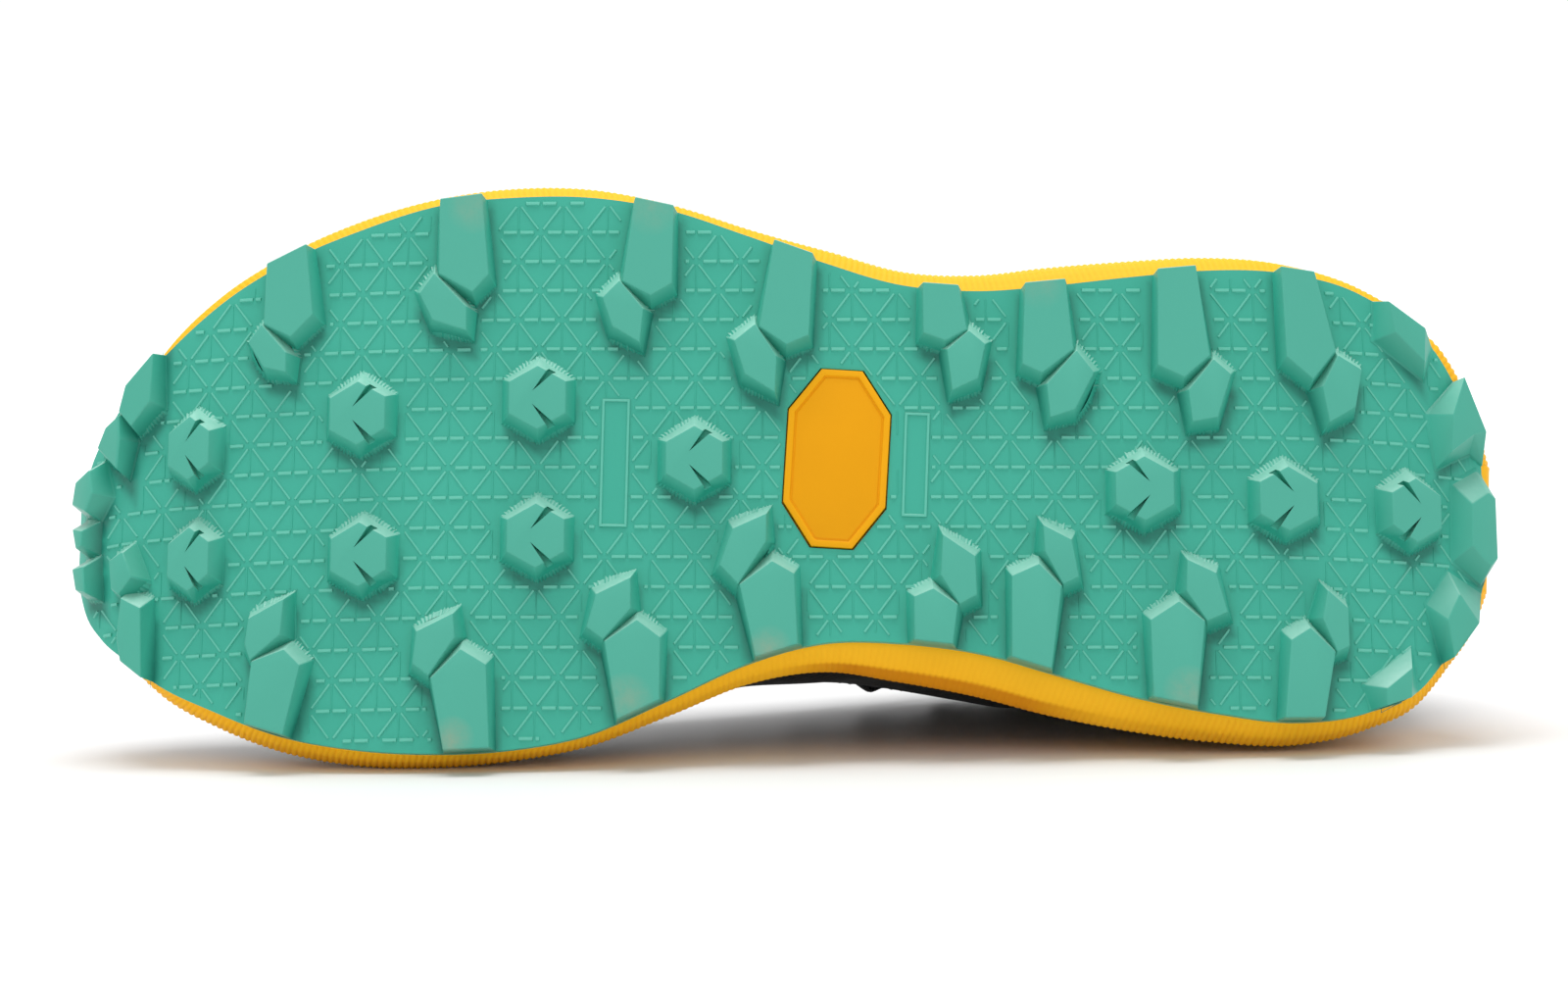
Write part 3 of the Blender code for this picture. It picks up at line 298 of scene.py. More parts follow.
# Creases of the worn upper: side, from (share along, share up) to (share along, share up), width and depth.
CreaseRow = namedtuple("CreaseRow", "side start end wide deep")
CREASES = tuple(CreaseRow(*row) for row in (
    (1, (0.700, 0.30), (0.790, 0.78), 0.0046, 0.0013), (1, (0.735, 0.25), (0.845, 0.66), 0.0040, 0.0011),
    (1, (0.660, 0.34), (0.730, 0.80), 0.0050, 0.0010), (-1, (0.690, 0.28), (0.790, 0.76), 0.0046, 0.0013),
    (-1, (0.730, 0.24), (0.850, 0.64), 0.0040, 0.0011), (-1, (0.650, 0.32), (0.725, 0.78), 0.0050, 0.0009),
    (1, (0.290, 0.40), (0.360, 0.92), 0.0060, 0.0012), (-1, (0.290, 0.40), (0.360, 0.92), 0.0060, 0.0012),
    (1, (0.200, 0.55), (0.120, 0.80), 0.0060, 0.0009), (-1, (0.200, 0.55), (0.120, 0.80), 0.0060, 0.0009),
    (1, (0.400, 0.20), (0.470, 0.60), 0.0080, 0.0008), (-1, (0.400, 0.22), (0.480, 0.62), 0.0080, 0.0010),
))


def clip(value):
    """A number held between 0 and 1."""
    return min(max(value, 0), 1)


def hermite(share, step, low, high, low_slope, high_slope):
    """A smooth curve between two values with their slopes."""
    start = (1 + 2 * share) * (1 - share) ** 2 * low + share * (1 - share) ** 2 * step * low_slope
    end = share * share * (3 - 2 * share) * high + share * share * (share - 1) * step * high_slope
    return start + end


def travel(points):
    """How far along its path each point of a row lies."""
    steps = np.diff(np.array([point[:] for point in points]), axis=0)
    return np.concatenate([[0], np.cumsum(np.linalg.norm(steps, axis=1))])


@functools.lru_cache(maxsize=None)
def curve(rows, column):
    places = np.array([row.along for row in rows])
    values = np.array([getattr(row, column) for row in rows], float)
    return places, values, np.gradient(values, places)


def read(rows, column, along):
    """One column of a table at a share of the length, on a smooth curve through its rows."""
    places, values, slopes = curve(rows, column)
    row = int(np.clip(np.searchsorted(places, along) - 1, 0, len(rows) - 2))
    step = places[row + 1] - places[row]
    share = (along - places[row]) / step
    return float(hermite(share, step, values[row], values[row + 1], slopes[row], slopes[row + 1]))


def slope_at(along):
    places, values, _ = curve(SOLE_LINE, "slope")
    return math.radians(np.interp(along, places, values))


@functools.lru_cache(maxsize=None)
def base_line(steps=3000):
    """Heights of the rubber's underside, which rises from the flat run towards toe and heel."""
    places = np.linspace(0, 1, steps + 1)
    tans = np.array([math.tan(slope_at(along)) for along in places])
    rise = np.concatenate([[0], np.cumsum((tans[1:] + tans[:-1]) / 2 * np.diff(places))]) * LENGTH
    return places, rise - np.interp(SOLE_LINE[6].along, places, rise) + LUG_DEPTH


def base_height(along):
    return float(np.interp(along, *base_line()))


def under(x, y, out):
    """A point at a distance out from the rubber's underside, square to it."""
    along = round(x / LENGTH, 6)
    slope = slope_at(along)
    return Vector((x + out * math.sin(slope), y, base_height(along) - out * math.cos(slope)))


@functools.lru_cache(maxsize=None)
def edge(along, side):
    """The outsole's edge in plan."""
    column = "lateral" if side > 0 else "medial"
    return Vector((along * LENGTH, side * read(OUTLINE, column, along) * BALL_WIDTH, 0))


@functools.lru_cache(maxsize=None)
def outward(along, side, step=0.004):
    """The direction square to the outsole's edge in plan."""
    run = edge(min(along + step, 1), side) - edge(max(along - step, 0), side)
    return Vector((-run.y, run.x, 0)).normalized() * side


def side_point(along, side, out, height):
    """A point of the midsole's side, out from where its bottom meets the rubber."""
    foot = under(*edge(along, side).xy, -RUBBER - GAP)
    point = foot + outward(along, side) * out
    point.z = height
    return point


def flare(along, side):
    return SIDE_FLARE * read(SIDE, "lateral" if side > 0 else "medial", along)


def rim_height(along):
    return HEEL_STACK * read(SIDE, "rim", along)


def rim_out(along, side):
    return flare(along, side) - SIDE_LEAN * read(SIDE, "lean", along)


def loop(places):
    """Stations right round the shoe: up the lateral side and back down the medial side."""
    return [(along, 1) for along in places] + [(along, -1) for along in reversed(places)]


def heel_loop(places):
    """Stations round the heel: down the medial side and back up the lateral side."""
    return [(along, -1) for along in reversed(places)] + [(along, 1) for along in places]


def fine_places(rows, between):
    """The rows' own shares of the length, with more between each two of them."""
    places = [row.along for row in rows]
    return [
        a + (b - a) * k / (between + 1) for a, b in zip(places[:-1], places[1:]) for k in range(between + 1)
    ] + [places[-1]]


@functools.lru_cache(maxsize=None)
def rib(along, side):
    """The four control points of the upper's rib, from the feather line to the top line."""
    foot = side_point(along, side, rim_out(along, side) - FEATHER_STEP, rim_height(along) + GAP)
    place = read(TOP_LINE, "place", along)
    centre = THROAT_SHIFT * min(1, place / 0.2)
    top = Vector((
        place * LENGTH,
        centre + side * read(TOP_LINE, "half", along) * BALL_WIDTH,
        read(TOP_LINE, "height", along) * INSTEP_HEIGHT,
    ))
    away = outward(along, side)
    out = math.radians(read(TOP_LINE, "out", along))
    lean = away * math.sin(out) + Vector((0, 0, math.cos(out)))
    low = foot + lean * read(TOP_LINE, "rise", along) * INSTEP_HEIGHT
    high = top - arrival(along, side, foot, top) * read(TOP_LINE, "reach", along) * INSTEP_HEIGHT
    return foot, low, high, top


def arrival(along, side, foot, top):
    """The direction in which a rib reaches the top line."""
    level = Vector((top.x - foot.x, top.y - foot.y, 0))
    turn = clip((level.length - 0.008) / 0.020)
    level = (level.normalized() * turn - outward(along, side) * (1 - turn)).normalized()
    angle = math.radians(read(TOP_LINE, "arrival", along))
    return level * math.cos(angle) + Vector((0, 0, math.sin(angle)))


def bezier(controls, s):
    a, b, c, d = controls
    return a * (1 - s) ** 3 + b * 3 * s * (1 - s) ** 2 + c * 3 * s * s * (1 - s) + d * s**3


def bezier_run(controls, s):
    a, b, c, d = controls
    return (b - a) * (1 - s) ** 2 + (c - b) * 2 * s * (1 - s) + (d - c) * s * s


@functools.lru_cache(maxsize=None)
def rib_length(along, side):
    points = [bezier(rib(along, side), k / 8) for k in range(9)]
    return sum((b - a).length for a, b in zip(points[:-1], points[1:]))


def on_upper(along, side, up, out=0.0, step=0.003):
    """A point of the upper at a share up its rib, moved out square to the surface."""
    controls = rib(along, side)
    before, after = max(along - step, 0), min(along + step, 1)
    across = bezier(rib(after, side), up) - bezier(rib(before, side), up)
    square = (across.cross(bezier_run(controls, up)) * -side).normalized()
    if up == 0:
        square.z = 0
        square.normalize()
    return bezier(controls, up) + square * out


def on_bridge(along, across, out=0.0, step=0.003):
    """A point of the surface that carries the upper on over the throat, from lateral 0 to medial 1."""

    def controls(place):
        lateral, medial = rib(place, 1), rib(place, -1)
        reach = (lateral[3] - medial[3]).length * 0.36
        leave = arrival(place, 1, lateral[0], lateral[3])
        arrive = arrival(place, -1, medial[0], medial[3])
        return lateral[3], lateral[3] + leave * reach, medial[3] + arrive * reach, medial[3]

    run = bezier_run(controls(along), across)
    ahead = bezier(controls(along + step), across) - bezier(controls(along - step), across)
    square = run.cross(ahead).normalized()
    if square.z < 0:
        square.negate()
    return bezier(controls(along), across) + square * out


def wall_at(along, up):
    """The upper's wall, thicker where the collar is padded."""
    rearwards = clip((0.33 - along) / 0.08)
    upwards = clip((up - 0.45) / 0.25) * min(max((1.04 - up) / 0.12, 0.35), 1)
    return WALL + COLLAR_PAD * rearwards * upwards


def crease(along, side, up):
    """How far the worn upper stands out from its plain form: troughs with a ridge on each side."""
    here = np.array((along * LENGTH, up * rib_length(along, side)))
    total = 0.0
    for row in CREASES:
        if row.side != side:
            continue
        a = np.array((row.start[0] * LENGTH, row.start[1] * rib_length(row.start[0], side)))
        b = np.array((row.end[0] * LENGTH, row.end[1] * rib_length(row.end[0], side)))
        run = b - a
        share = float(np.dot(here - a, run) / np.dot(run, run))
        if not -0.15 < share < 1.15:
            continue
        bow = CREASE_BOW * math.sin(math.pi * clip(share))
        square = np.array((-run[1], run[0])) / np.linalg.norm(run)
        away = (float(np.dot(here - a, square)) - bow) / row.wide
        fade = math.sin(math.pi * clip((share + 0.15) / 1.3)) ** 0.8
        trough = -math.exp(-away * away) + 0.55 * math.exp(-((abs(away) - 1.7) ** 2))
        total += row.deep * fade * trough
    soft = noise.noise(Vector((here[0] * 45, here[1] * 45, side * 3.0))) * 0.0004
    return (total + soft) * min(up * 8, 1) * min((1 - up) * 9, 1)


def shoe_axes():
    """The shoe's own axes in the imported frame, from the record's two mounts on lugs of the middle row."""
    mounts = {mount["name"]: mount for mount in frame["record"]["mounts"]}
    heel = Vector(mounts["heel_lug_face"]["pos_m"])
    fore = Vector(mounts["forefoot_lug_face"]["pos_m"])
    up = -Vector(mounts["heel_lug_face"]["axis"]).normalized()
    heel_place = (HEXES[7].along * LENGTH, HEXES[7].across * BALL_WIDTH)
    fore_place = (HEXES[6].along * LENGTH, HEXES[6].across * BALL_WIDTH)
    turn = math.atan2(fore_place[1] - heel_place[1], fore_place[0] - heel_place[0])
    forward = Matrix.Rotation(-turn, 3, up) @ (fore - heel).normalized()
    left = up.cross(forward)
    origin = heel - forward * heel_place[0] - left * heel_place[1]
    return Matrix.Translation(origin) @ Matrix((forward, left, up)).transposed().to_4x4()


AXES = shoe_axes()


class Tone:
    """A number that changes over a surface. Sums and products of tones add the Math nodes."""

    def __init__(self, finish, socket):
        self.finish = finish
        self.socket = socket

    def reckon(self, operation, *values):
        return self.finish.node("Math", {"operation": operation}, dict(enumerate(values)))

    def __add__(self, other):
        return self.reckon("ADD", self, other)

    def __sub__(self, other):
        return self.reckon("SUBTRACT", self, other)

    def __rsub__(self, other):
        return self.reckon("SUBTRACT", other, self)

    def __mul__(self, other):
        return self.reckon("MULTIPLY", self, other)

    def __truediv__(self, other):
        return self.reckon("DIVIDE", self, other)

    def __pow__(self, other):
        return self.reckon("POWER", self, other)

    __radd__ = __add__
    __rmul__ = __mul__

    def clamp(self):
        return self.reckon("MINIMUM", self.reckon("MAXIMUM", self, 0.0), 1.0)

    def wave(self):
        return self.reckon("SINE", self)

    def size(self):
        return self.reckon("ABSOLUTE", self)


class Finish:
    """A material and its nodes."""

    def __init__(self, name):
        self.material = bpy.data.materials.new(name)
        self.material.use_nodes = True
        self.nodes = self.material.node_tree.nodes
        self.links = self.material.node_tree.links
        self.shader = self.nodes["Principled BSDF"]

    def node(self, kind, settings=None, sockets=None, out=0):
        """Adds a node, sets it up, fills or links its sockets, and gives one of its outputs."""
        node = self.nodes.new("ShaderNode" + kind)
        for name, value in (settings or {}).items():
            setattr(node, name, value)
        for name, value in (sockets or {}).items():
            self.fill(node.inputs[name], value)
        return Tone(self, node.outputs[out])

    def fill(self, socket, value):
        if isinstance(value, Tone):
            self.links.new(value.socket, socket)
        else:
            socket.default_value = value

    def place(self):
        """Coordinates in the shoe's own axes, in metres."""
        raw = self.node("TexCoord", out="Object")
        turn = {"Vector": raw, "Location": AXES.translation, "Rotation": AXES.to_euler()}
        return self.node("Mapping", {"vector_type": "TEXTURE"}, turn)

    def uv(self):
        return self.node("UVMap", {"uv_map": "UVMap"})

    def split(self, vector):
        parts = self.node("SeparateXYZ", None, {0: vector})
        source = parts.socket.node.outputs
        return [Tone(self, source[k]) for k in range(3)]

    def speckle(self, place, scale, detail=3.0, rough=0.55, stretch=None):
        if stretch:
            place = self.node("VectorMath", {"operation": "MULTIPLY"}, {0: place, 1: stretch})
        sockets = {"Vector": place, "Scale": scale, "Detail": detail, "Roughness": rough}
        return self.node("TexNoise", None, sockets)

    def blend(self, amount, low, high):
        """A colour between two colours."""
        low = (*low, 1) if isinstance(low, tuple) else low
        high = (*high, 1) if isinstance(high, tuple) else high
        return self.node("Mix", {"data_type": "RGBA"}, {0: amount, 6: low, 7: high}, 2)

    def painted(self, name):
        """A value painted on the piece's points or faces."""
        return self.node("Attribute", {"attribute_name": name}, None, "Fac")

    def bump(self, height, distance, strength=1.0):
        return self.node("Bump", None, {"Height": height, "Distance": distance, "Strength": strength})

    def surface(self, **sockets):
        for name, value in sockets.items():
            self.fill(self.shader.inputs[name.replace("_", " ")], value)
        return self.material


def rubber_finish():
    """Semi-matte teal rubber: painted highlight on upward flanks, painted shade on flanks and below the lugs,
    dusty on some bars.
    """
    finish = Finish("outsole_rubber")
    place = finish.place()
    broad = finish.speckle(place, 38.0, 4.0)
    fine = finish.speckle(place, 900.0, 3.0)
    colour = finish.blend(broad, *TEAL)
    # Flanks and the rubber round their roots: painted shade in the colour, and a glossier finish.
    flank = finish.painted("flank")
    # Painted shadow below each lug, broken up a little by noise.
    painted_shadow = finish.painted("painted_shadow") * (0.8 + finish.speckle(place, 350.0, 3.0) * 0.4)
    # Painted highlight on the slopes that face up towards the overhead panel.
    slope_highlight = (finish.painted("slope_highlight") * (0.72 + finish.speckle(place, 700.0, 4.0, 0.6) * 0.4)).clamp()
    dusty = 0.0
    for along, across, radius, strength in SMUDGES:
        spot = under(along * LENGTH, across * BALL_WIDTH, LUG_DEPTH)
        away = finish.node("VectorMath", {"operation": "DISTANCE"}, {0: place, 1: tuple(spot)}, out=1)
        dusty = (1.0 - away / radius).clamp() * strength + dusty
    dusty = (dusty * (finish.speckle(place, 160.0, 6.0, 0.7) * 3.4 - 0.8)).clamp()
    # Over the base tone: painted shade on flanks, painted shadow below lugs, painted shade on downward
    # slopes, painted highlight on raised strokes, a greyer tone on lug tops, painted highlight on upward
    # slopes, then dust.
    layers = (
        (flank * 0.3, FLANK_SHADE_TEAL), ((painted_shadow * 0.95).clamp(), SHADOW_TEAL),
        (finish.painted("shaded") * 0.6, SHADED_TEAL), (finish.painted("line") * 0.65, STROKE_HIGHLIGHT_TEAL),
        (finish.painted("top") * 0.75, TOP_TEAL), (slope_highlight * 0.56, SLOPE_HIGHLIGHT_TEAL), (dusty * 0.5, DUST),
    )
    for amount, shade in layers:
        colour = finish.blend(amount, colour, shade)
    normal = finish.bump(finish.speckle(place, 2600.0, 2.0) * 0.4 + fine * 0.6, 0.00003, 0.55)
    rough = 0.48 + broad * 0.10 + dusty * 0.25 - flank * 0.16
    return finish.surface(Base_Color=colour, Roughness=rough, Normal=normal)


def foam_finish():
    """Bright yellow foam, with painted shade in its grooves and in the hollow of the arch."""
    finish = Finish("midsole_foam")
    place = finish.place()
    broad = finish.speckle(place, 30.0, 3.0)
    colour = finish.blend(broad, *FOAM)
    # Painted shade: darker orange at the bottom of the rope grooves.
    colour = finish.blend(finish.painted("groove") * 0.28, colour, FOAM_GROOVE_SHADE)
    # Painted shade on the upper wall in the hollow of the medial arch.
    colour = finish.blend(finish.painted("deep") * 0.8, colour, FOAM_ARCH_SHADE)
    pores = finish.node("TexVoronoi", {"feature": "F1"}, {"Vector": place, "Scale": 1500.0})
    normal = finish.bump(pores * 0.5 + finish.speckle(place, 1200.0, 2.0) * 0.5, 0.00004, 0.5)
    rough = 0.55 + broad * 0.12
    return finish.surface(Base_Color=colour, Roughness=rough, Normal=normal, Specular_IOR_Level=0.15)


def badge_finish():
    """Moulded amber rubber, paler on its rim."""
    finish = Finish("badge_rubber")
    place = finish.place()
    broad = finish.speckle(place, 90.0, 3.0)
    colour = finish.blend(broad, *AMBER)
    colour = finish.blend(finish.painted("rim") * 0.5, colour, AMBER_RIM)
    normal = finish.bump(finish.speckle(place, 1800.0, 3.0), 0.00003, 0.5)
    rough = 0.44 + broad * 0.08
    return finish.surface(Base_Color=colour, Roughness=rough, Normal=normal, Specular_IOR_Level=0.15)


def mesh_finish(dark=0.006, light=0.024):
    """Knitted black mesh: oval openings in staggered rows between glossy yarns."""
    finish = Finish("engineered_mesh")
    u, v, _ = finish.split(finish.uv())
    across = u / MESH_PITCH
    rows = v / (MESH_PITCH * 0.62)
    row = finish.node("Math", {"operation": "FLOOR"}, {0: rows})
    shift = finish.node("Math", {"operation": "MODULO"}, {0: row, 1: 2.0}) * 0.5
    cell_u = finish.node("Math", {"operation": "FRACT"}, {0: across + shift}) - 0.5
    cell_v = finish.node("Math", {"operation": "FRACT"}, {0: rows}) - 0.5
    hole = 1.0 - ((cell_u * cell_u * 10.0 + cell_v * cell_v * 7.0) ** 1.5).clamp()
    yarn = (across * (math.tau * 5)).wave() * 0.5 + 0.5
    twist = ((rows + across) * (math.tau * 2.5)).wave() * 0.5 + 0.5
    fuzz = finish.speckle(finish.place(), 1500.0, 3.0)
    thread = yarn * 0.45 + twist * 0.3 + fuzz * 0.35
    colour = finish.blend((thread * (1.0 - hole)).clamp(), (dark,) * 3, (light, light, light * 1.05))
    normal = finish.bump((1.0 - hole) * 0.75 + thread * 0.25, 0.00028, 0.8)
    return finish.surface(
        Base_Color=colour, Roughness=0.62 + fuzz * 0.2, Normal=normal,
        Sheen_Weight=0.08, Sheen_Roughness=0.45, Specular_IOR_Level=0.22,
    )


def film_finish():
    """Thin welded black film with a fine leathery grain."""
    finish = Finish("overlay_film")
    place = finish.place()
    pebble = finish.node("TexVoronoi", {"feature": "SMOOTH_F1"}, {"Vector": place, "Scale": 850.0})
    broad = finish.speckle(place, 60.0, 4.0)
    scuff = (finish.speckle(place, 300.0, 6.0, 0.7, (1.0, 1.0, 0.3)) * 3.0 - 1.75).clamp()
    colour = finish.blend(broad, (0.011, 0.011, 0.012), (0.020, 0.020, 0.021))
    colour = finish.blend(scuff * 0.25, colour, (0.075, 0.073, 0.070))
    normal = finish.bump(pebble, 0.00010, 0.5)
    rough = 0.40 + broad * 0.14 + scuff * 0.2
    return finish.surface(Base_Color=colour, Roughness=rough, Normal=normal, Specular_IOR_Level=0.30)


def cloth_finish(name, dark, light, pitch):
    """A plain woven cloth on the piece's own coordinates."""
    finish = Finish(name)
    u, v, _ = finish.split(finish.uv())
    warp = (u * (math.tau / pitch)).wave()
    weft = (v * (math.tau / pitch)).wave()
    weave = warp * weft * 0.5 + 0.5
    fuzz = finish.speckle(finish.place(), 1400.0, 4.0)
    colour = finish.blend((weave * 0.6 + fuzz * 0.6 - 0.1).clamp(), dark, light)
    normal = finish.bump(weave * 0.7 + fuzz * 0.3, pitch * 0.16, 0.7)
    return finish.surface(
        Base_Color=colour, Roughness=0.80 + fuzz * 0.12, Normal=normal,
        Sheen_Weight=0.1, Sheen_Roughness=0.5, Specular_IOR_Level=0.20,
    )


def lace_finish():
    """Flat woven lace: two crossing families of yarns in a herringbone."""
    finish = Finish("lace_weave")
    u, v, _ = finish.split(finish.uv())
    lean = (v - LACE_WIDTH / 2).size()
    yarn = ((u + lean) * (math.tau / 0.0011)).wave() * 0.5 + 0.5
    rib = (v * (math.tau / 0.0006)).wave() * 0.5 + 0.5
    fuzz = finish.speckle(finish.place(), 1800.0, 3.0)
    colour = finish.blend((yarn * 0.7 + fuzz * 0.4).clamp(), (0.008, 0.008, 0.009), (0.045, 0.045, 0.048))
    normal = finish.bump(yarn * 0.7 + rib * 0.3, 0.00018, 0.8)
    return finish.surface(
        Base_Color=colour, Roughness=0.75, Normal=normal, Sheen_Weight=0.1, Specular_IOR_Level=0.25,
    )


def thread_finish():
    """Black sewing thread."""
    finish = Finish("sewing_thread")
    fuzz = finish.speckle(finish.place(), 2500.0, 3.0)
    colour = finish.blend(fuzz, (0.016, 0.016, 0.017), (0.05, 0.05, 0.052))
    return finish.surface(Base_Color=colour, Roughness=0.6 + fuzz * 0.15, Normal=finish.bump(fuzz, 0.00005))


def fresh(obj):
    """Makes a piece the only selected one."""
    if bpy.context.mode != "OBJECT":
        bpy.ops.object.mode_set(mode="OBJECT")
    bpy.ops.object.select_all(action="DESELECT")
    obj.select_set(True)
    bpy.context.view_layer.objects.active = obj


def aimed(place, direction):
    """The matrix that puts a thing's z axis along a direction."""
    return Matrix.Translation(place) @ direction.to_track_quat("Z", "Y").to_matrix().to_4x4()


def new_piece(name, data):
    obj = bpy.data.objects.new(name, data)
    bpy.context.scene.collection.objects.link(obj)
    return obj


def sheet_of(name, rows, closed_rows=False, closed_ribs=False, flip=False, uvs=None):
    """A mesh from a grid of points. Closed: the last row, or each row's last point, meets the first."""
    count, size = len(rows), len(rows[0])
    points = [tuple(point) for row in rows for point in row]
    faces, corners = [], []
    for i in range(count if closed_rows else count - 1):
        for j in range(size if closed_ribs else size - 1):
            spots = ((i, j), (i + 1, j), (i + 1, j + 1), (i, j + 1))
            if flip:
                spots = spots[::-1]
            faces.append([(a % count) * size + b % size for a, b in spots])
            corners += spots
    mesh = bpy.data.meshes.new(name)
    mesh.from_pydata(points, [], faces)
    if uvs:
        layer = mesh.uv_layers.new(name="UVMap")
        flat = [uvs[min(a, len(uvs) - 1)][min(b, len(uvs[0]) - 1)] for a, b in corners]
        layer.data.foreach_set("uv", np.array(flat, float).ravel())
    mesh.polygons.foreach_set("use_smooth", [True] * len(mesh.polygons))
    return mesh


def closed_piece(name, mesh, caps):
    """A piece from a mesh of rings, with a face over each cap's spots."""
    body = bmesh.new()
    body.from_mesh(mesh)
    body.verts.ensure_lookup_table()
    for spots in caps:
        face = body.faces.new([body.verts[spot] for spot in spots])
        face.smooth = True
    bmesh.ops.recalc_face_normals(body, faces=body.faces)
    body.to_mesh(mesh)
    body.free()
    return new_piece(name, mesh)


def join(pieces, name):
    fresh(pieces[0])
    for piece in pieces:
        piece.select_set(True)
    if len(pieces) > 1:
        bpy.ops.object.join()
    pieces[0].name = name
    pieces[0].data.name = name
    return pieces[0]


def apply_modifier(obj, kind, **settings):
    fresh(obj)
    modifier = obj.modifiers.new(kind.lower(), kind)
    for name, value in settings.items():
        setattr(modifier, name, value)
    bpy.ops.object.modifier_apply(modifier=modifier.name)


def bevel(obj, width, degrees):
    limit = math.radians(degrees)
    apply_modifier(obj, "BEVEL", width=width, segments=2, limit_method="ANGLE", angle_limit=limit)


def cut(obj, cutter):
    apply_modifier(obj, "BOOLEAN", operation="DIFFERENCE", solver="EXACT", object=cutter)


def smooth(obj, degrees):
    fresh(obj)
    bpy.ops.object.shade_smooth_by_angle(angle=math.radians(degrees))


def face_outwards(obj):
    fresh(obj)
    bpy.ops.object.mode_set(mode="EDIT")
    bpy.ops.mesh.select_all(action="SELECT")
    bpy.ops.mesh.normals_make_consistent(inside=False)
    bpy.ops.object.mode_set(mode="OBJECT")


def inset_top(obj, steps):
    """Insets the faces that look straight out, one step after another: thickness and depth."""
    select_top(obj)
    for thickness, depth in steps:
        bpy.ops.mesh.inset(thickness=thickness, depth=depth)
    bpy.ops.object.mode_set(mode="OBJECT")


def corners_of(obj):
    return np.array([vert.co[:] for vert in obj.data.vertices])


def paint(obj, name, values, domain="POINT"):
    attribute = obj.data.attributes.new(name, "FLOAT", domain)
    attribute.data.foreach_set("value", np.array(values, float))


def wrap(obj):
    """Lays a piece that was shaped flat, with z as the distance out from the rubber, onto the sole."""
    for vert in obj.data.vertices:
        vert.co = under(vert.co.x, vert.co.y, vert.co.z)


def finish_piece(obj, material, nodes=()):
    """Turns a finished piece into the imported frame, lets it rest on the floor and ties it to the CAD."""
    obj.data.transform(AXES)
    for vert in obj.data.vertices:
        vert.co.z = max(vert.co.z, 0.0)
    obj.data.materials.clear()
    obj.data.materials.append(material)
    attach(obj, "root")
    if nodes:
        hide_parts(*nodes)
    return obj


def select_top(obj):
    """Goes into edit mode with only the faces that look straight out selected."""
    fresh(obj)
    bpy.ops.object.mode_set(mode="EDIT")
    bpy.ops.mesh.select_all(action="DESELECT")
    body = bmesh.from_edit_mesh(obj.data)
    body.select_mode = {"FACE"}
    for face in body.faces:
        if face.normal.z > 0.9:
            face.select_set(True)
    body.select_flush_mode()
    bmesh.update_edit_mesh(obj.data)


def middle_of(corners):
    return sum((Vector(corner) for corner in corners), Vector((0, 0))) / len(corners)


def flat_prism(name, corners, levels):
    """An upright piece over plan corners: levels give (height, growth) from its foot to its top."""
    bpy.ops.object.select_all(action="DESELECT")
    bpy.ops.mesh.primitive_circle_add(vertices=len(corners), radius=0.01, fill_type="NGON")
    obj = bpy.context.object
    obj.name = name
    middle = middle_of(corners)
    turn = sum(Vector(a).cross(Vector(b)) for a, b in zip(corners, corners[1:] + corners[:1]))
    ordered = corners if turn > 0 else corners[::-1]

    def ring(height, growth):
        for corner in ordered:
            away = Vector(corner) - middle
            spot = middle + away * (1 + growth / away.length)
            spot.y += growth * LEE * max(away.y / away.length, 0)
            limit = edge(round(clip(spot.x / LENGTH), 6), 1 if spot.y > 0 else -1).y
            spot.y = min(spot.y, limit) if spot.y > 0 else max(spot.y, limit)
            yield Vector((min(max(spot.x, 0), LENGTH), spot.y, height))

    bpy.ops.object.mode_set(mode="EDIT")
    body = bmesh.from_edit_mesh(obj.data)
    for vert, spot in zip(list(body.verts), ring(*levels[0])):
        vert.co = spot
    for below, level in zip(levels[:-1], levels[1:]):
        bmesh.update_edit_mesh(obj.data)
        bpy.ops.mesh.extrude_region_move(TRANSFORM_OT_translate={"value": (0, 0, 0.001)})
        body = bmesh.from_edit_mesh(obj.data)
        top = [vert for vert in body.verts if vert.select]
        start = np.array([vert.co.xy for vert in top])
        for spot, target in zip(ring(*below), ring(*level)):
            nearest = int(np.argmin(np.linalg.norm(start - np.array(spot.xy), axis=1)))
            top[nearest].co = target
    bmesh.update_edit_mesh(obj.data)
    face_outwards(obj)
    return obj


def bar_corners(row):
    """A bar's outline in plan, with the flake's outline beside its tip."""
    x, y = row.along * LENGTH, row.side * row.across * BALL_WIDTH

    def spot(reach, depth):
        return x + row.facing * reach * LUG_WIDTH, y - row.side * depth * LUG_WIDTH

    ends = []
    for reach in reversed(row.ends):
        end = x + row.facing * reach * LUG_WIDTH
        ends.append((end, edge(round(end / LENGTH, 6), row.side).y))
    return [(x, y), spot(*row.far), *ends, spot(*row.near)], [spot(*corner) for corner in row.flake]


def hex_corners(row):
    """A hexagonal lug's outline in plan, shorter where the sole curls up."""
    radius = HEX_WIDTH / math.sqrt(3)
    x, y = row.along * LENGTH, row.across * BALL_WIDTH
    turns = [math.tau * k / 6 for k in range(6)]
    return [(x + radius * row.length * math.sin(turn), y + radius * math.cos(turn)) for turn in turns]


def turned(spots, middle, degrees):
    """Plan spots turned about their middle and put in place."""
    across, along = math.sin(math.radians(degrees)), math.cos(math.radians(degrees))
    return [(middle[0] + x * along - y * across, middle[1] + x * across + y * along) for x, y in spots]


def badge_outline(grow):
    spots = []
    for long, wide in BADGE_CORNERS:
        x = math.copysign(BADGE_WIDTH / 2 * abs(long) + grow, long)
        spots.append((x, math.copysign(BADGE_LENGTH / 2 * abs(wide) + grow, wide)))
    return turned(spots, (BADGE_ALONG * LENGTH, BADGE_ACROSS * BALL_WIDTH), BADGE_TURN)


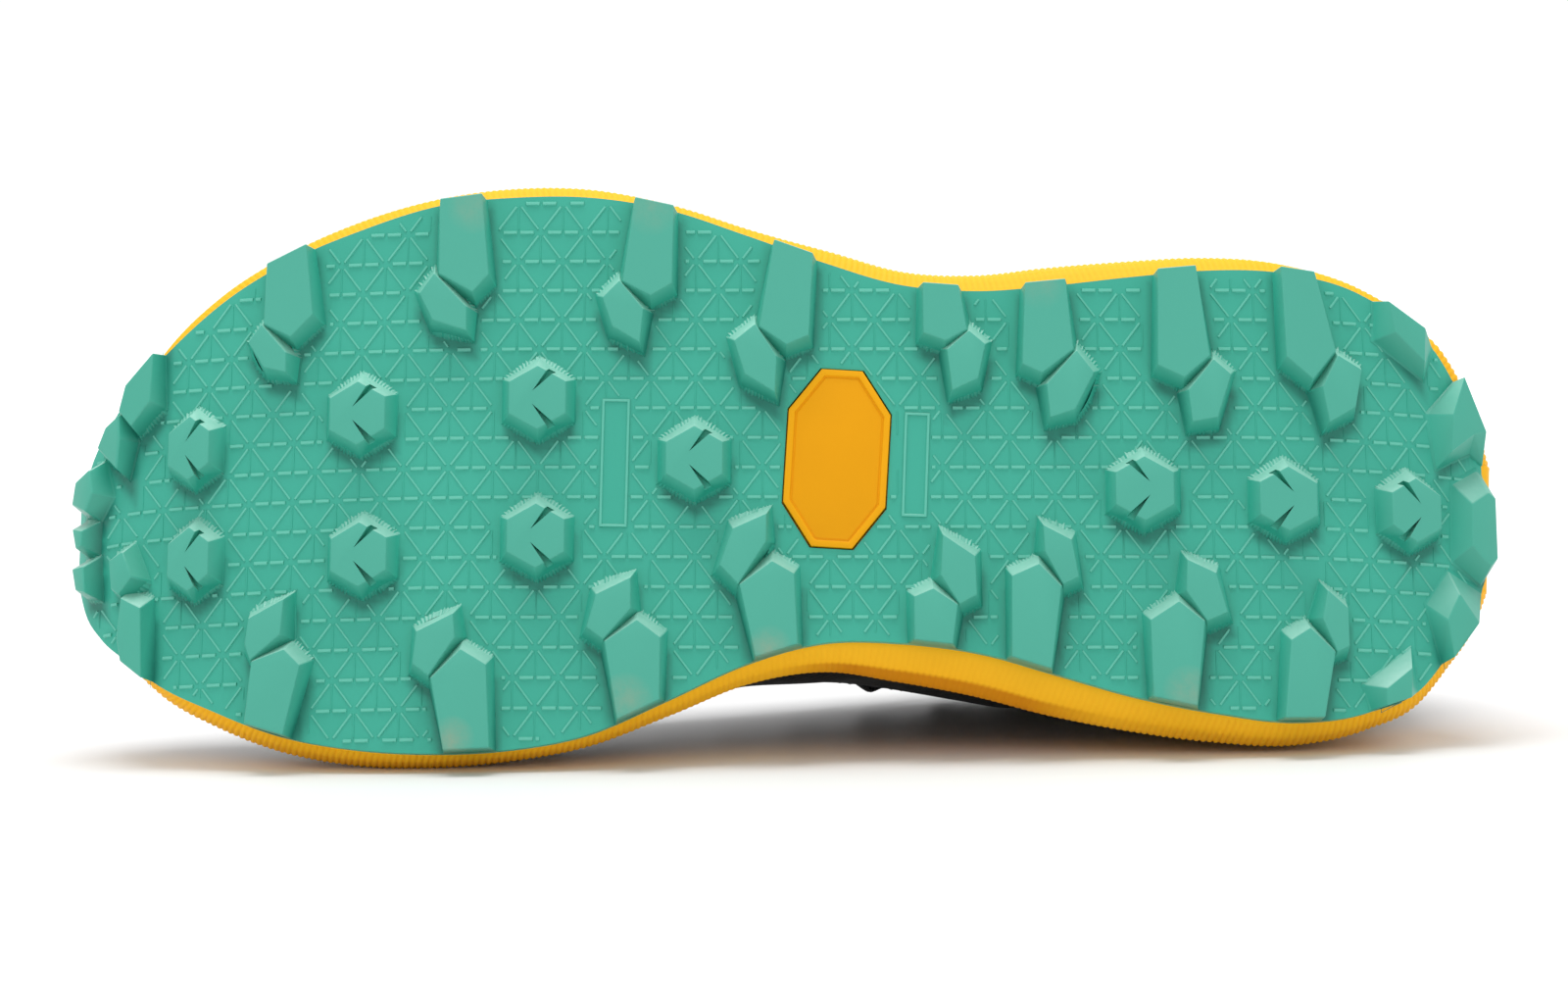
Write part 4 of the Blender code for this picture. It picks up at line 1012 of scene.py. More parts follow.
def label_outline(row, grow):
    wide, long = row.wide / 2 + grow, row.long / 2 + grow
    return turned(((wide, long), (-wide, long), (-wide, -long), (wide, -long)), (row.x, row.y), row.turn)


def sipe(name, corners, facing, sign):
    """A thin wedge that cuts a hexagonal lug from near its middle out to the edge of its top."""
    middle = middle_of(corners)
    short = (max(corner[0] for corner in corners) - middle.x) / (HEX_WIDTH / 2)
    wedge = [tuple(middle + Vector((facing * short * x, sign * y))) for x, y in SIPE]
    return flat_prism(name, wedge, [(LUG_DEPTH * 0.55, 0), (LUG_DEPTH * 1.4, 0)])


def rim_corners(shares):
    return [(a * LENGTH, b * BALL_WIDTH) for a, b in shares]


# The wedge that a sipe takes out, from a lug's middle, and the heights and growth of a lug from foot to top.
SIPE = ((-0.0011, 0.0014), (0.0023, 0.0066), (0.0038, 0.0058))
LEVELS = (
    (-BASE_FOOT, LUG_DRAFT + SKIRT), (0.00006, LUG_DRAFT + SKIRT * 0.9), (0.0004, LUG_DRAFT + SKIRT * 0.15),
    (LUG_DEPTH, 0.0),
)


def moulded_lug(name, corners, rise=LUG_DEPTH, spread=1.0, cutters=()):
    """A drafted lug with a flared root and softened edges."""
    levels = [(rise if height == LUG_DEPTH else height, growth * spread) for height, growth in LEVELS]
    obj = flat_prism(name, list(corners), levels)
    bevel(obj, LUG_EDGE, 24)
    for cutter in cutters:
        cut(obj, cutter)
        bpy.data.objects.remove(cutter)
    return obj


def outside_sole(spot, room=0.0009, step=0.004):
    """Whether a plan spot lies off the rubber, or too near its edge."""
    along, side = spot.x / LENGTH, 1 if spot.y > 0 else -1
    places = [round(clip(along + shift), 4) for shift in (-step, 0, step)]
    return not 0.006 < along < 0.994 or abs(spot.y) > min(abs(edge(place, side).y) for place in places) - room


def skirt(name, corners, spin):
    """A ragged apron of thin rubber tongues where a lug's flanks run out onto the base."""
    inner, outer = [], []
    middle = middle_of(corners)
    for a, b in zip(corners, corners[1:] + corners[:1]):
        a, b = Vector(a), Vector(b)
        count = max(2, round((b - a).length / SKIRT_PITCH))
        upright = abs((b - a).normalized().x) < 0.45
        for k in range(count):
            spot = a.lerp(b, k / count)
            away = (spot - middle).normalized()
            spin += 1
            ragged = 0.5 + 0.5 * noise.noise(Vector((spin * 7.31, 0.5, 0.5)))
            long = SKIRT_SHORT + (SKIRT_LONG - SKIRT_SHORT) * (ragged if spin % 2 else ragged * 0.35)
            slack = Vector((0, LEE * LUG_DRAFT * max(away.y, 0)))
            tip = spot + away * (LUG_DRAFT + long) + slack * 1.2
            if upright or outside_sole(tip):
                inner.append((*(spot - away * 0.0006), 0.0))
                outer.append((*(spot - away * 0.0004), -ROOT_SINK))
                continue
            inner.append((*(spot + away * (LUG_DRAFT * 0.72) + slack * 0.72), SKIRT_RISE))
            outer.append((*tip, -ROOT_SINK))
    count = len(inner)
    faces = [(k, (k + 1) % count, count + (k + 1) % count, count + k) for k in range(count)]
    mesh = bpy.data.meshes.new(name)
    mesh.from_pydata(inner + outer, [], faces)
    obj = new_piece(name, mesh)
    face_outwards(obj)
    if sum(face.normal.z for face in mesh.polygons) < 0:
        mesh.flip_normals()
    return obj


@functools.lru_cache(maxsize=None)
def lug_outlines():
    outlines = [corners for row in LUG_PAIRS for corners in bar_corners(row)]
    return outlines + [hex_corners(row) for row in HEXES] + [rim_corners(shares) for shares in RIM_LUGS]


def distance_to_lugs(spots):
    return np.min([distance_outside(spots, corners) for corners in lug_outlines()], axis=0)


def distance_outside(spots, corners):
    """How far plan spots lie outside a convex outline; negative inside."""
    corners = np.array(corners)
    if sum(a[0] * b[1] - a[1] * b[0] for a, b in zip(corners, np.roll(corners, -1, 0))) < 0:
        corners = corners[::-1]
    best = np.full(len(spots), -1.0)
    for a, b in zip(corners, np.roll(corners, -1, 0)):
        run = (b - a) / np.linalg.norm(b - a)
        outside = (spots[:, 0] - a[0]) * run[1] - (spots[:, 1] - a[1]) * run[0]
        best = np.maximum(best, outside)
    return best


def rubber_sheet():
    """The thin rubber under the foot, finer towards toe and heel, with a window for the badge."""
    bpy.ops.object.select_all(action="DESELECT")
    bpy.ops.mesh.primitive_grid_add(x_subdivisions=240, y_subdivisions=90, size=1)
    sheet = bpy.context.object
    for vert in sheet.data.vertices:
        along = 0.5 - 0.5 * math.cos(math.pi * (vert.co.x + 0.5))
        along = round(along * 0.35 + (vert.co.x + 0.5) * 0.65, 6)
        low, high = edge(along, -1).y, edge(along, 1).y
        vert.co = (along * LENGTH, low + (high - low) * (vert.co.y + 0.5), 0)
    apply_modifier(sheet, "SOLIDIFY", thickness=RUBBER, offset=-1)
    window = flat_prism("badge_window", badge_outline(GAP), [(-2 * RUBBER, 0), (RUBBER, 0)])
    cut(sheet, window)
    bpy.data.objects.remove(window)
    return sheet


def all_lugs():
    """Every lug of the sole, and then the ragged aprons at their roots."""
    lugs = []
    for number, row in enumerate(LUG_PAIRS):
        for part, corners in zip(("bar", "flake"), bar_corners(row)):
            lugs.append(moulded_lug(f"{part}_{number}", corners))
    for number, row in enumerate(HEXES):
        corners = hex_corners(row)
        facing = -1 if row.along > 0.5 else 1
        cutters = [sipe(f"sipe_{number}_{sign}", corners, facing, sign) for sign in (1, -1)]
        lugs.append(moulded_lug(f"hex_{number}", corners, cutters=cutters))
    for number, shares in enumerate(RIM_LUGS):
        spread = HEEL_SPREAD if number in HEEL_RIM else 1.0
        lugs.append(moulded_lug(f"rim_{number}", rim_corners(shares), LUG_DEPTH * RIM_LUG_SHARE, spread))
    for number, corners in enumerate(lug_outlines()):
        lugs.append(skirt(f"skirt_{number}", corners, number * 1000))
    return lugs


def paint_outsole(outsole):
    """Paints the lugs' tops and flanks, a painted shadow below them, and painted highlight and shade on
    slopes by how they face the light.
    """
    points = corners_of(outsole)
    heights = points[:, 2]
    paint(outsole, "top", np.clip((heights - LUG_DEPTH * 0.72) / (LUG_DEPTH * 0.2), 0, 1))
    # Lug flanks and the base close round their roots, painted darker as shade and made glossier.
    near = np.clip(1 - (distance_to_lugs(points) - LUG_DRAFT) / 0.0008, 0, 1)
    paint(outsole, "flank", near * np.clip((LUG_DEPTH * 0.96 - heights) / 0.0003, 0, 1))
    # Painted shadow: the base just below each lug, on its side away from the overhead light, is darkened.
    below = distance_to_lugs(points + np.array((0.0004, 0.0034, 0)))
    painted_shadow = np.clip(1 - (below - 0.0004) / 0.0022, 0, 1) ** 1.3
    paint(outsole, "painted_shadow", painted_shadow * (heights < 0.0005) * (heights > -0.0004))
    normals = np.array([face.normal[:] for face in outsole.data.polygons])
    raised = np.array([face.center.z for face in outsole.data.polygons]) > 0.0001
    slanted = raised & (np.abs(normals[:, 2]) < 0.93)
    # Raised slopes facing the lateral side, up towards the panel, get painted highlight; those facing down
    # get painted shade.
    for name, sign in (("slope_highlight", 1), ("shaded", -1)):
        paint(outsole, name, np.clip((normals[:, 1] * sign - 0.25) / 0.45, 0, 1) * slanted, "FACE")


def make_outsole(material):
    """Rubber sheet with its lugs, the raised lattice between them and the two bare label plates."""
    pieces = [rubber_sheet(), *all_lugs()]
    pieces += [label_plate(f"label_{number}", row) for number, row in enumerate(LABELS)]
    strokes = lattice()
    # The raised frames of the label plates get the lattice strokes' painted highlight.
    for piece in pieces:
        share = 0.7 if piece.name.startswith("label") else 0.0
        paint(piece, "line", [share * (vert.co.z > 0.0003) for vert in piece.data.vertices])
    outsole = join([*pieces, strokes], "outsole_tread")
    paint_outsole(outsole)
    wrap(outsole)
    smooth(outsole, 18)
    return finish_piece(outsole, material, ["outsole"])


def label_plate(name, row):
    """A bare plate in a low raised frame with rounded corners."""
    obj = flat_prism(name, label_outline(row, 0), [(-0.0004, 0.0), (0.0004, 0.0)])
    inset_top(obj, ((0.00050, 0), (0.00012, -0.00036)))
    bevel(obj, 0.0001, 30)
    return obj


def lattice_strokes():
    """Start, end, width and height of each stroke: dashes in rows, slanted ones and hair lines between."""
    strokes = []
    half = LATTICE_ALONG / 2
    for j in range(-2, 22):
        y = LATTICE_START[1] - LATTICE_ACROSS * j
        for k in range(-24, 14):
            x = LATTICE_START[0] + LATTICE_ALONG * (k + 0.5 * (j % 2))
            strokes.append(((x + DASH_START, y), (x + half - DASH_GAP, y), *DASH))
            strokes.append(((x + half + DASH_GAP, y), (x + 2 * half - DASH_START, y), *DASH))
            for side in (1, -1):
                step = np.array((side * half, -LATTICE_ACROSS))
                start, end = np.array((x, y)) + step * 0.10, np.array((x, y)) + step * 0.90
                strokes.append((tuple(start), tuple(end), *SLANTS[side]))
                if side > 0:
                    strokes.append(((x, y - 2 * DASH_GAP), (x, y - LATTICE_ACROSS + 2 * DASH_GAP), *HAIR))
    return strokes


def open_base(spots):
    """Which plan spots lie on bare base rubber, clear of lugs, badge, plates and the sole's edge."""
    keep_off = [(corners, LUG_DRAFT + SKIRT + 0.0002) for corners in lug_outlines()]
    keep_off += [(badge_outline(0), 0.0010)] + [(label_outline(row, 0), 0.0006) for row in LABELS]
    free = (spots[:, 0] > 0.012 * LENGTH) & (spots[:, 0] < 0.985 * LENGTH)
    for corners, room in keep_off:
        free &= distance_outside(spots, corners) > room
    shares = np.linspace(0, 1, 400)
    for side in (1, -1):
        limits = [abs(edge(float(along), side).y) - 0.0014 for along in shares]
        inside = np.abs(spots[:, 1]) < np.interp(spots[:, 0] / LENGTH, shares, limits)
        free &= inside | (spots[:, 1] * side < 0)
    return free


def lattice():
    """The raised strokes of a triangular lattice on the base, each cut back to where the rubber is bare."""
    bpy.ops.object.select_all(action="DESELECT")
    bpy.ops.mesh.primitive_cube_add(size=1)
    stroke = bpy.context.object
    for vert in stroke.data.vertices:
        if vert.co.z > 0:
            vert.co.y *= 0.45
            vert.co.x *= 0.96
    shape = corners_of(stroke)
    faces = [tuple(face.vertices) for face in stroke.data.polygons if face.normal.z > -0.5]
    bpy.data.objects.remove(stroke)
    strokes = lattice_strokes()
    shares = np.linspace(0, 1, 9)
    starts, ends = (np.array([stroke[at] for stroke in strokes])[:, None, :] for at in (0, 1))
    spots = starts + (ends - starts) * shares[None, :, None]
    all_free = open_base(spots.reshape(-1, 2)).reshape(len(strokes), len(shares))
    points, cells, stroke_highlight = [], [], []
    for (start, end, wide, high), free in zip(strokes, all_free):
        if not free.any():
            continue
        first, last = int(np.argmax(free)), 8 - int(np.argmax(free[::-1]))
        if last - first < 2 or not free[first:last + 1].all():
            continue
        a, b = np.array(start), np.array(end)
        a, b = a + (b - a) * shares[first], a + (b - a) * shares[last]
        run = b - a
        square = np.array((-run[1], run[0])) / np.linalg.norm(run)
        middle = (a + b) / 2
        cells += [tuple(len(points) + corner for corner in face) for face in faces]
        for sx, sy, sz in shape:
            spot = middle + run * sx + square * sy * wide * 1.5
            points.append((spot[0], spot[1], high if sz > 0 else -0.0002))
            # Tall strokes get a paler top: a painted highlight where light catches them.
            stroke_highlight.append(min(high / 0.00030, 0.85) if sz > 0 and high > 0.0002 else 0.0)
    mesh = bpy.data.meshes.new("lattice")
    mesh.from_pydata(points, [], cells)
    obj = new_piece("lattice", mesh)
    paint(obj, "line", stroke_highlight)
    return obj


def make_badge(material):
    """The octagonal badge: a raised rim, a fine groove inside it, and a bare face."""
    badge = flat_prism("badge", badge_outline(0), [(-RUBBER, 0), (BADGE_RISE, 0)])
    inset_top(badge, ((0.0013, 0), (0.00015, -0.00045), (0.0003, 0), (0.00015, 0.0002)))
    bevel(badge, 0.00016, 30)
    paint(badge, "rim", np.where(corners_of(badge)[:, 2] > BADGE_RISE * 0.8, 1.0, 0.0))
    wrap(badge)
    smooth(badge, 32)
    return finish_piece(badge, material, ["badge_plate"])


def side_profile(along, side):
    """Where the midsole's side runs, as (out, height) from its foot over the ridge to its rim."""
    foot = under(*edge(along, side).xy, -RUBBER - GAP).z
    out = flare(along, side)
    ridge = foot + RIDGE_RISE * read(SIDE, "rise", along)
    rim = rim_height(along)
    lean = out - rim_out(along, side)
    corners = [
        (0.0, foot), (out * FACET_OUT, foot + (ridge - foot) * FACET_RISE), (out, ridge),
        (out - lean * WALL_IN, ridge + (rim - ridge) * WALL_RISE), (out - lean, rim),
    ]
    path = []
    for (out_a, high_a), (out_b, high_b), count in zip(corners[:-1], corners[1:], (3, 4, 5, 5)):
        shares = [k / count for k in range(count)]
        path += [(out_a + (out_b - out_a) * share, high_a + (high_b - high_a) * share) for share in shares]
    return path + [corners[-1]]


def make_midsole(material):
    """Yellow foam whose side is worked all round in fine slanted rope ribs."""
    ring = loop(fine_places(OUTLINE, 60))
    profiles = [side_profile(along, side) for along, side in ring]
    feet = [side_point(along, side, 0, profile[0][1]) for (along, side), profile in zip(ring, profiles)]
    columns, groove_shades, arch_shades = [], [], []
    for (along, side), profile, travelled in zip(ring, profiles, travel(feet)):
        away = outward(along, side)
        # The upper wall in the hollow of the medial arch gets painted shade.
        arch = clip((0.50 - along) / 0.05) * clip((along - 0.27) / 0.05) * (side < 0)
        arch_shades.append([arch * (level > 3) for level in range(len(profile))])
        hollow = 1 - 0.55 * clip((0.62 - along) / 0.1) * clip((along - 0.2) / 0.1) * (side < 0)
        column, depth = [], []
        for level, (out, height) in enumerate(profile):
            climb = height - profile[0][1]
            wave = abs(math.sin(math.pi * (travelled + side * climb * 1.1) / ROPE_PITCH))
            fade = min(level, 1) * min((len(profile) - 1 - level) / 2, 1) * hollow
            column.append(side_point(along, side, out, height) + away * (wave ** 0.7 - 1) * ROPE_DEPTH * fade)
            # How far down a rope groove each point lies, which also sets its painted shade.
            depth.append((1 - wave) * fade)
        columns.append(column)
        groove_shades.append(depth)
    mesh = sheet_of("midsole_foam", columns, closed_rows=True, flip=True)
    size, count = len(columns[0]), len(columns)
    caps = []
    for level in (0, size - 1):
        for k in range(count // 2 - 1):
            caps.append([spot * size + level for spot in (k, k + 1, count - 2 - k, count - 1 - k)])
    midsole = closed_piece("midsole_foam", mesh, caps)
    paint(midsole, "groove", np.array(groove_shades).ravel())
    paint(midsole, "deep", np.array(arch_shades, float).ravel())
    smooth(midsole, 50)
    return finish_piece(midsole, material, ["midsole"])


def upper_grid(places, shares, out_at):
    """Points and surface coordinates of a sheet over the upper."""
    rows, uvs = [], []
    middles = [bezier(rib(along, side), 0.4) for along, side in places]
    for (along, side), travelled in zip(places, travel(middles)):
        ups = shares(along, side)
        rows.append([on_upper(along, side, up, out_at(along, side, up)) for up in ups])
        uvs.append([(travelled, up * rib_length(along, side)) for up in ups])
    return rows, uvs


def shell_piece(name, outer, inner, uvs, closed):
    """A wall between two like grids, with its rims closed."""
    ring = [list(a) + list(reversed(b)) for a, b in zip(outer, inner)]
    both = [list(a) + list(reversed(a)) for a in uvs]
    mesh = sheet_of(name, ring, closed_rows=closed, closed_ribs=True, uvs=[row + [row[0]] for row in both])
    size = len(ring[0])
    caps = []
    for row in () if closed else (0, len(ring) - 1):
        for j in range(size // 2 - 1):
            caps.append([row * size + spot for spot in (j, j + 1, size - 2 - j, size - 1 - j)])
    return closed_piece(name, mesh, caps)


def eyelet_cutters(radius):
    """Pegs that cut the lace holes square through the upper and the eyestay."""
    pegs = []
    for along, side in [(along, side) for along in EYELETS for side in (1, -1)]:
        up = 1 - EYELET_INSET / rib_length(along, side)
        low, high = on_upper(along, side, up, -3 * WALL), on_upper(along, side, up, 3 * WALL)
        bpy.ops.object.select_all(action="DESELECT")
        bpy.ops.mesh.primitive_cylinder_add(vertices=20, radius=radius, depth=(high - low).length)
        peg = bpy.context.object
        peg.data.transform(aimed((low + high) / 2, high - low))
        pegs.append(peg)
    return join(pegs, "eyelet_pegs")


def make_upper(material, pegs):
    """The upper's hollow shell of mesh, creased by wear, with the lace holes."""
    places = loop(fine_places(TOP_LINE, 7))

    def shares(along, side):
        return [k / 56 for k in range(57)]

    def inside(along, side, up):
        return crease(along, side, up) * 0.6 - wall_at(along, up)

    outer, uvs = upper_grid(places, shares, crease)
    inner, _ = upper_grid(places, shares, inside)
    upper = shell_piece("upper_mesh", outer, inner, uvs, closed=True)
    cut(upper, pegs)
    smooth(upper, 45)
    return finish_piece(upper, material, ["upper"])


def overlay(name, places, low, high, steps):
    """A thin panel over the upper whose edges round off onto it."""
    def shares(along, side):
        start, end = low(along, side), high(along, side)
        return [start + (end - start) * k / steps for k in range(steps + 1)]

    def lift(along, side, up):
        near = min(up - low(along, side), high(along, side) - up) * rib_length(along, side)
        return OVERLAY_GAP + crease(along, side, up) + OVERLAY * clip(near / 0.0012) ** 0.5

    outer, uvs = upper_grid(places, shares, lift)
    inner, _ = upper_grid(places, shares, lambda along, side, up: OVERLAY_GAP * 0.2 + crease(along, side, up))
    return shell_piece(name, outer, inner, uvs, closed=False)


def panel_low(along, side):
    return PANEL_LOW


def cap_top(along, side):
    return 0.10 + 0.20 * math.sin(math.pi / 2 * min((along - TOE_CAP_START) / 0.17, 1))


def counter_top(along, side):
    return 0.66 - 0.34 * (along / COUNTER_END) ** 1.5


def stay_low(along, side):
    return 1 - 0.0150 / rib_length(along, side)


def stay_high(along, side):
    return 1 - 0.0015 / rib_length(along, side)


def make_overlays(material, pegs):
    """Toe cap, heel counter and eyestay."""
    fine = fine_places(TOP_LINE, 7)
    toe = loop([TOE_CAP_START, *[along for along in fine if along > TOE_CAP_START]])
    heel = heel_loop([*[along for along in fine if along < COUNTER_END], COUNTER_END])
    throat = loop([STAY_START, *[along for along in fine if along > STAY_START]])
    cap = overlay("toe_cap_film", toe, panel_low, cap_top, 22)
    counter = overlay("heel_counter_film", heel, panel_low, counter_top, 26)
    stay = overlay("eyestay_film", throat, stay_low, stay_high, 14)
    cut(stay, pegs)
    for piece, node in ((cap, "toe_cap"), (counter, "heel_counter"), (stay, "eyestay")):
        smooth(piece, 45)
        finish_piece(piece, material, [node])


def make_insole(material):
    """The insole, which is seen through the collar."""
    rows, uvs = [], []
    inset = FEATHER_STEP + WALL + 4 * GAP
    for along in fine_places(OUTLINE, 4):
        low, high = (
            side_point(along, side, rim_out(along, side) - inset, rim_height(along)) for side in (-1, 1)
        )
        row = []
        for share in [k / 40 for k in range(41)]:
            spot = low.lerp(high, share)
            spot.z += GAP + INSOLE - 0.0012 * (1 - (2 * share - 1) ** 4)
            row.append(spot)
        rows.append(row)
        uvs.append([(spot.x, spot.y) for spot in row])
    insole = new_piece("insole_board", sheet_of("insole_board", rows, flip=True, uvs=uvs))
    apply_modifier(insole, "SOLIDIFY", thickness=INSOLE * 0.9, offset=-1)
    bevel(insole, 0.0008, 50)
    finish_piece(insole, material, ["insole"])
    return insole


def tongue_section(along, wing, out, steps=28):
    """Points across the tongue: a wing under each edge of the throat, and the crown between them."""
    def under_edge(side, share):
        return on_upper(along, side, 1 - wing * share / rib_length(along, side), out)

    lateral = [under_edge(1, share) for share in (1, 0.75, 0.5, 0.25)]
    crown = [on_bridge(along, k / steps, out) for k in range(steps + 1)]
    medial = [under_edge(-1, share) for share in (0.25, 0.5, 0.75, 1)]
    return lateral + crown + medial


def tongue_grid(depth):
    """Points of the tongue's outer or inner surface: its soft head first, then the part under the laces."""
    head, ahead = (tongue_section(along, TONGUE_WING * 0.5, -depth) for along in TONGUE_STATIONS[:2])
    run = (head[5] - ahead[5]).normalized()
    run = (run + Vector((0, 0, 0.35))).normalized()
    middle = (head[0] + head[-1]) / 2
    grid = []
    for share in [k / 12 for k in range(12, 0, -1)]:
        narrow = 1 - 0.16 * share**0.5
        grid.append([middle + (point - middle) * narrow + run * TONGUE_TOP * share for point in head])
    for a, b in zip(TONGUE_STATIONS[:-1], TONGUE_STATIONS[1:]):
        for along in [a + (b - a) * k / 6 for k in range(6)]:
            wing = 0.5 + 0.5 * min((along - TONGUE_STATIONS[0]) / 0.03, 1)
            grid.append(tongue_section(along, TONGUE_WING * wing, -depth))
    grid.append(tongue_section(TONGUE_STATIONS[-1], TONGUE_WING, -depth))
    return grid


def make_tongue(material):
    """Padded tongue: quilted under the laces, with a full soft head above the top eyelets."""
    outer, inner = (tongue_grid(depth) for depth in (WALL + TONGUE_GAP, WALL + TONGUE_GAP + TONGUE))
    count, size = len(outer), len(outer[0])
    rows_out, rows_in, uvs = [], [], []
    for i in range(count):
        row_out, row_in = [], []
        for j in range(size):
            a, b = outer[i][j], inner[i][j]
            away = (a - b).normalized()
            across = j / (size - 1)
            edge_soft = min(across, 1 - across, 0.08) / 0.08
            end_soft = min(i / 3, (count - 1 - i) / 4, 1)
            soft = (edge_soft * end_soft) ** 0.5
            seam = min(abs(across - 0.24), abs(across - 0.76)) / 0.05
            puff = 0.0008 * abs(math.sin(math.pi * i / 9)) ** 0.4 * min(seam, 1) ** 0.5 - 0.0006
            if i <= 14:
                puff = 0.0010 * min(seam + 0.4, 1)
            middle = a.lerp(b, 0.5)
            half = (a - b).length / 2
            row_out.append(middle + away * (half * soft + puff * soft))
            row_in.append(middle - away * half * soft)
        rows_out.append(row_out)
        rows_in.append(row_in)
        uvs.append([(j * 0.0016, i * 0.0022) for j in range(size)])
    tongue = shell_piece("tongue_pad", rows_out, rows_in, uvs, closed=False)
    apply_modifier(tongue, "SUBSURF", levels=1, render_levels=1)
    finish_piece(tongue, material, ["tongue"])
    return tongue


def collar_spot(along, length, share):
    """Place up the rib and distance out, at a share of the lining's way over the collar and down inside."""
    taper = min((COLLAR_END - along) / 0.06, 1)
    if share < 0.25:
        turn = share / 0.25
        return 1 - (1 - turn) * 0.0045 / length, 0.0003 + 0.0004 * math.sin(math.pi * turn)
    if share < 0.5:
        turn = (share - 0.25) / 0.25
        roll = 0.0028 * (0.45 + 0.55 * taper)
        up = 1 + roll * 0.35 * math.sin(math.pi * turn) / length
        return up, 0.0003 - (wall_at(along, 1.0) + 0.0006) * turn
    turn = (share - 0.5) / 0.5
    up = 1 - turn * (0.008 + 0.022 * taper) / length
    return up, -wall_at(along, min(up, 1)) - 0.0005 - 0.0016 * taper * math.sin(math.pi * turn) ** 0.7


def make_collar(material):
    """Padded lining that rolls over the collar's edge and down inside it."""
    places = heel_loop([*[along for along in fine_places(TOP_LINE, 9) if along < COLLAR_END], COLLAR_END])
    rows, uvs = [], []
    tops = [bezier(rib(along, side), 1) for along, side in places]
    shares = [k / 28 for k in range(29)]
    for (along, side), travelled in zip(places, travel(tops)):
        spots = [collar_spot(along, rib_length(along, side), share) for share in shares]
        rows.append([on_upper(along, side, min(up, 1.03), out) for up, out in spots])
        uvs.append([(travelled, share * 0.045) for share in shares])
    collar = new_piece("collar_lining", sheet_of("collar_lining", rows, flip=True, uvs=uvs))
    apply_modifier(collar, "SOLIDIFY", thickness=0.0005, offset=-1)
    finish_piece(collar, material)
    return collar


def lace_stop(along, across, side, lift):
    """A point that a lace run passes, and the direction square to the shoe there."""
    near = 1 if across <= 1 else -1 if across >= 2 else 0
    if near:
        reach = 1 - across if near > 0 else across - 2
        up = 1 - EYELET_INSET / rib_length(along, near * side) * reach
        spots = [on_upper(along, near * side, up, out) for out in (lift, lift + LACE_THICK)]
    else:
        over = across - 1 if side > 0 else 2 - across
        spots = [on_bridge(along, over, out) for out in (lift, lift + LACE_THICK)]
    return (spots[0] + spots[1]) / 2, (spots[1] - spots[0]).normalized()


def lace_run(start, end, side, number):
    """One flat woven run over the throat from eyelet to eyelet, with both ends down through the holes."""
    lift = OVERLAY_GAP + OVERLAY + 0.0003 + (LACE_THICK * 0.9 if side < 0 else 0)
    stops = [lace_stop(start + (end - start) * share, across, side, lift) for share, across in LACE_PATH]
    dives = [
        [(point - square * depth, square) for depth in depths]
        for (point, square), depths in ((stops[0], (0.0050, 0.0022)), (stops[-1], (0.0022, 0.0050)))
    ]
    stops = dives[0] + stops + dives[1]
    points, squares = (np.array([stop[part][:] for stop in stops]) for part in (0, 1))
    spread = travel(points)
    slopes = np.gradient(points, spread, axis=0)
    rows, uvs = [], []
    for s in np.linspace(0, spread[-1], 61):
        k = int(np.clip(np.searchsorted(spread, s) - 1, 0, len(spread) - 2))
        step = spread[k + 1] - spread[k]
        share = (s - spread[k]) / step
        spot = Vector(hermite(share, step, points[k], points[k + 1], slopes[k], slopes[k + 1]))
        square = Vector(squares[k] * (1 - share) + squares[k + 1] * share).normalized()
        ahead = Vector(points[min(k + 2, len(points) - 1)] - points[max(k - 1, 0)])
        if k <= 1 or k >= len(spread) - 3:
            ahead = Vector(points[len(points) // 2 + 1] - points[len(points) // 2 - 1])
        sideways = ahead.cross(square).normalized()
        half = LACE_WIDTH / 2 * (0.52 + 0.48 * clip(min(s, spread[-1] - s) / 0.0085 - 0.35))
        row, uv = [], []
        for turn in [math.tau * c / 16 for c in range(16)]:
            wide = math.copysign(abs(math.cos(turn)) ** 0.6, math.cos(turn))
            high = math.copysign(abs(math.sin(turn)) ** 0.8, math.sin(turn))
            row.append(spot + sideways * wide * half + square * high * LACE_THICK * 0.42)
            uv.append((s, (wide * 0.5 + 0.5) * LACE_WIDTH))
        rows.append(row)
        uvs.append(uv + [uv[0]])
    name = f"lace_run_{number}"
    return new_piece(name, sheet_of(name, rows, closed_ribs=True, uvs=uvs))


def make_lace(material):
    """One bar at the toe end, then a pair of crossing runs between each two rows of eyelets."""
    runs = [lace_run(EYELETS[-1], EYELETS[-1], 1, 0)]
    for number, (low, high) in enumerate(zip(EYELETS[1:], EYELETS[:-1])):
        for side in (1, -1):
            runs.append(lace_run(low, high, side, 2 * number + (1 if side > 0 else 2)))
    lace = join(runs, "lace_weave")
    face_outwards(lace)
    return finish_piece(lace, material, ["lace"])


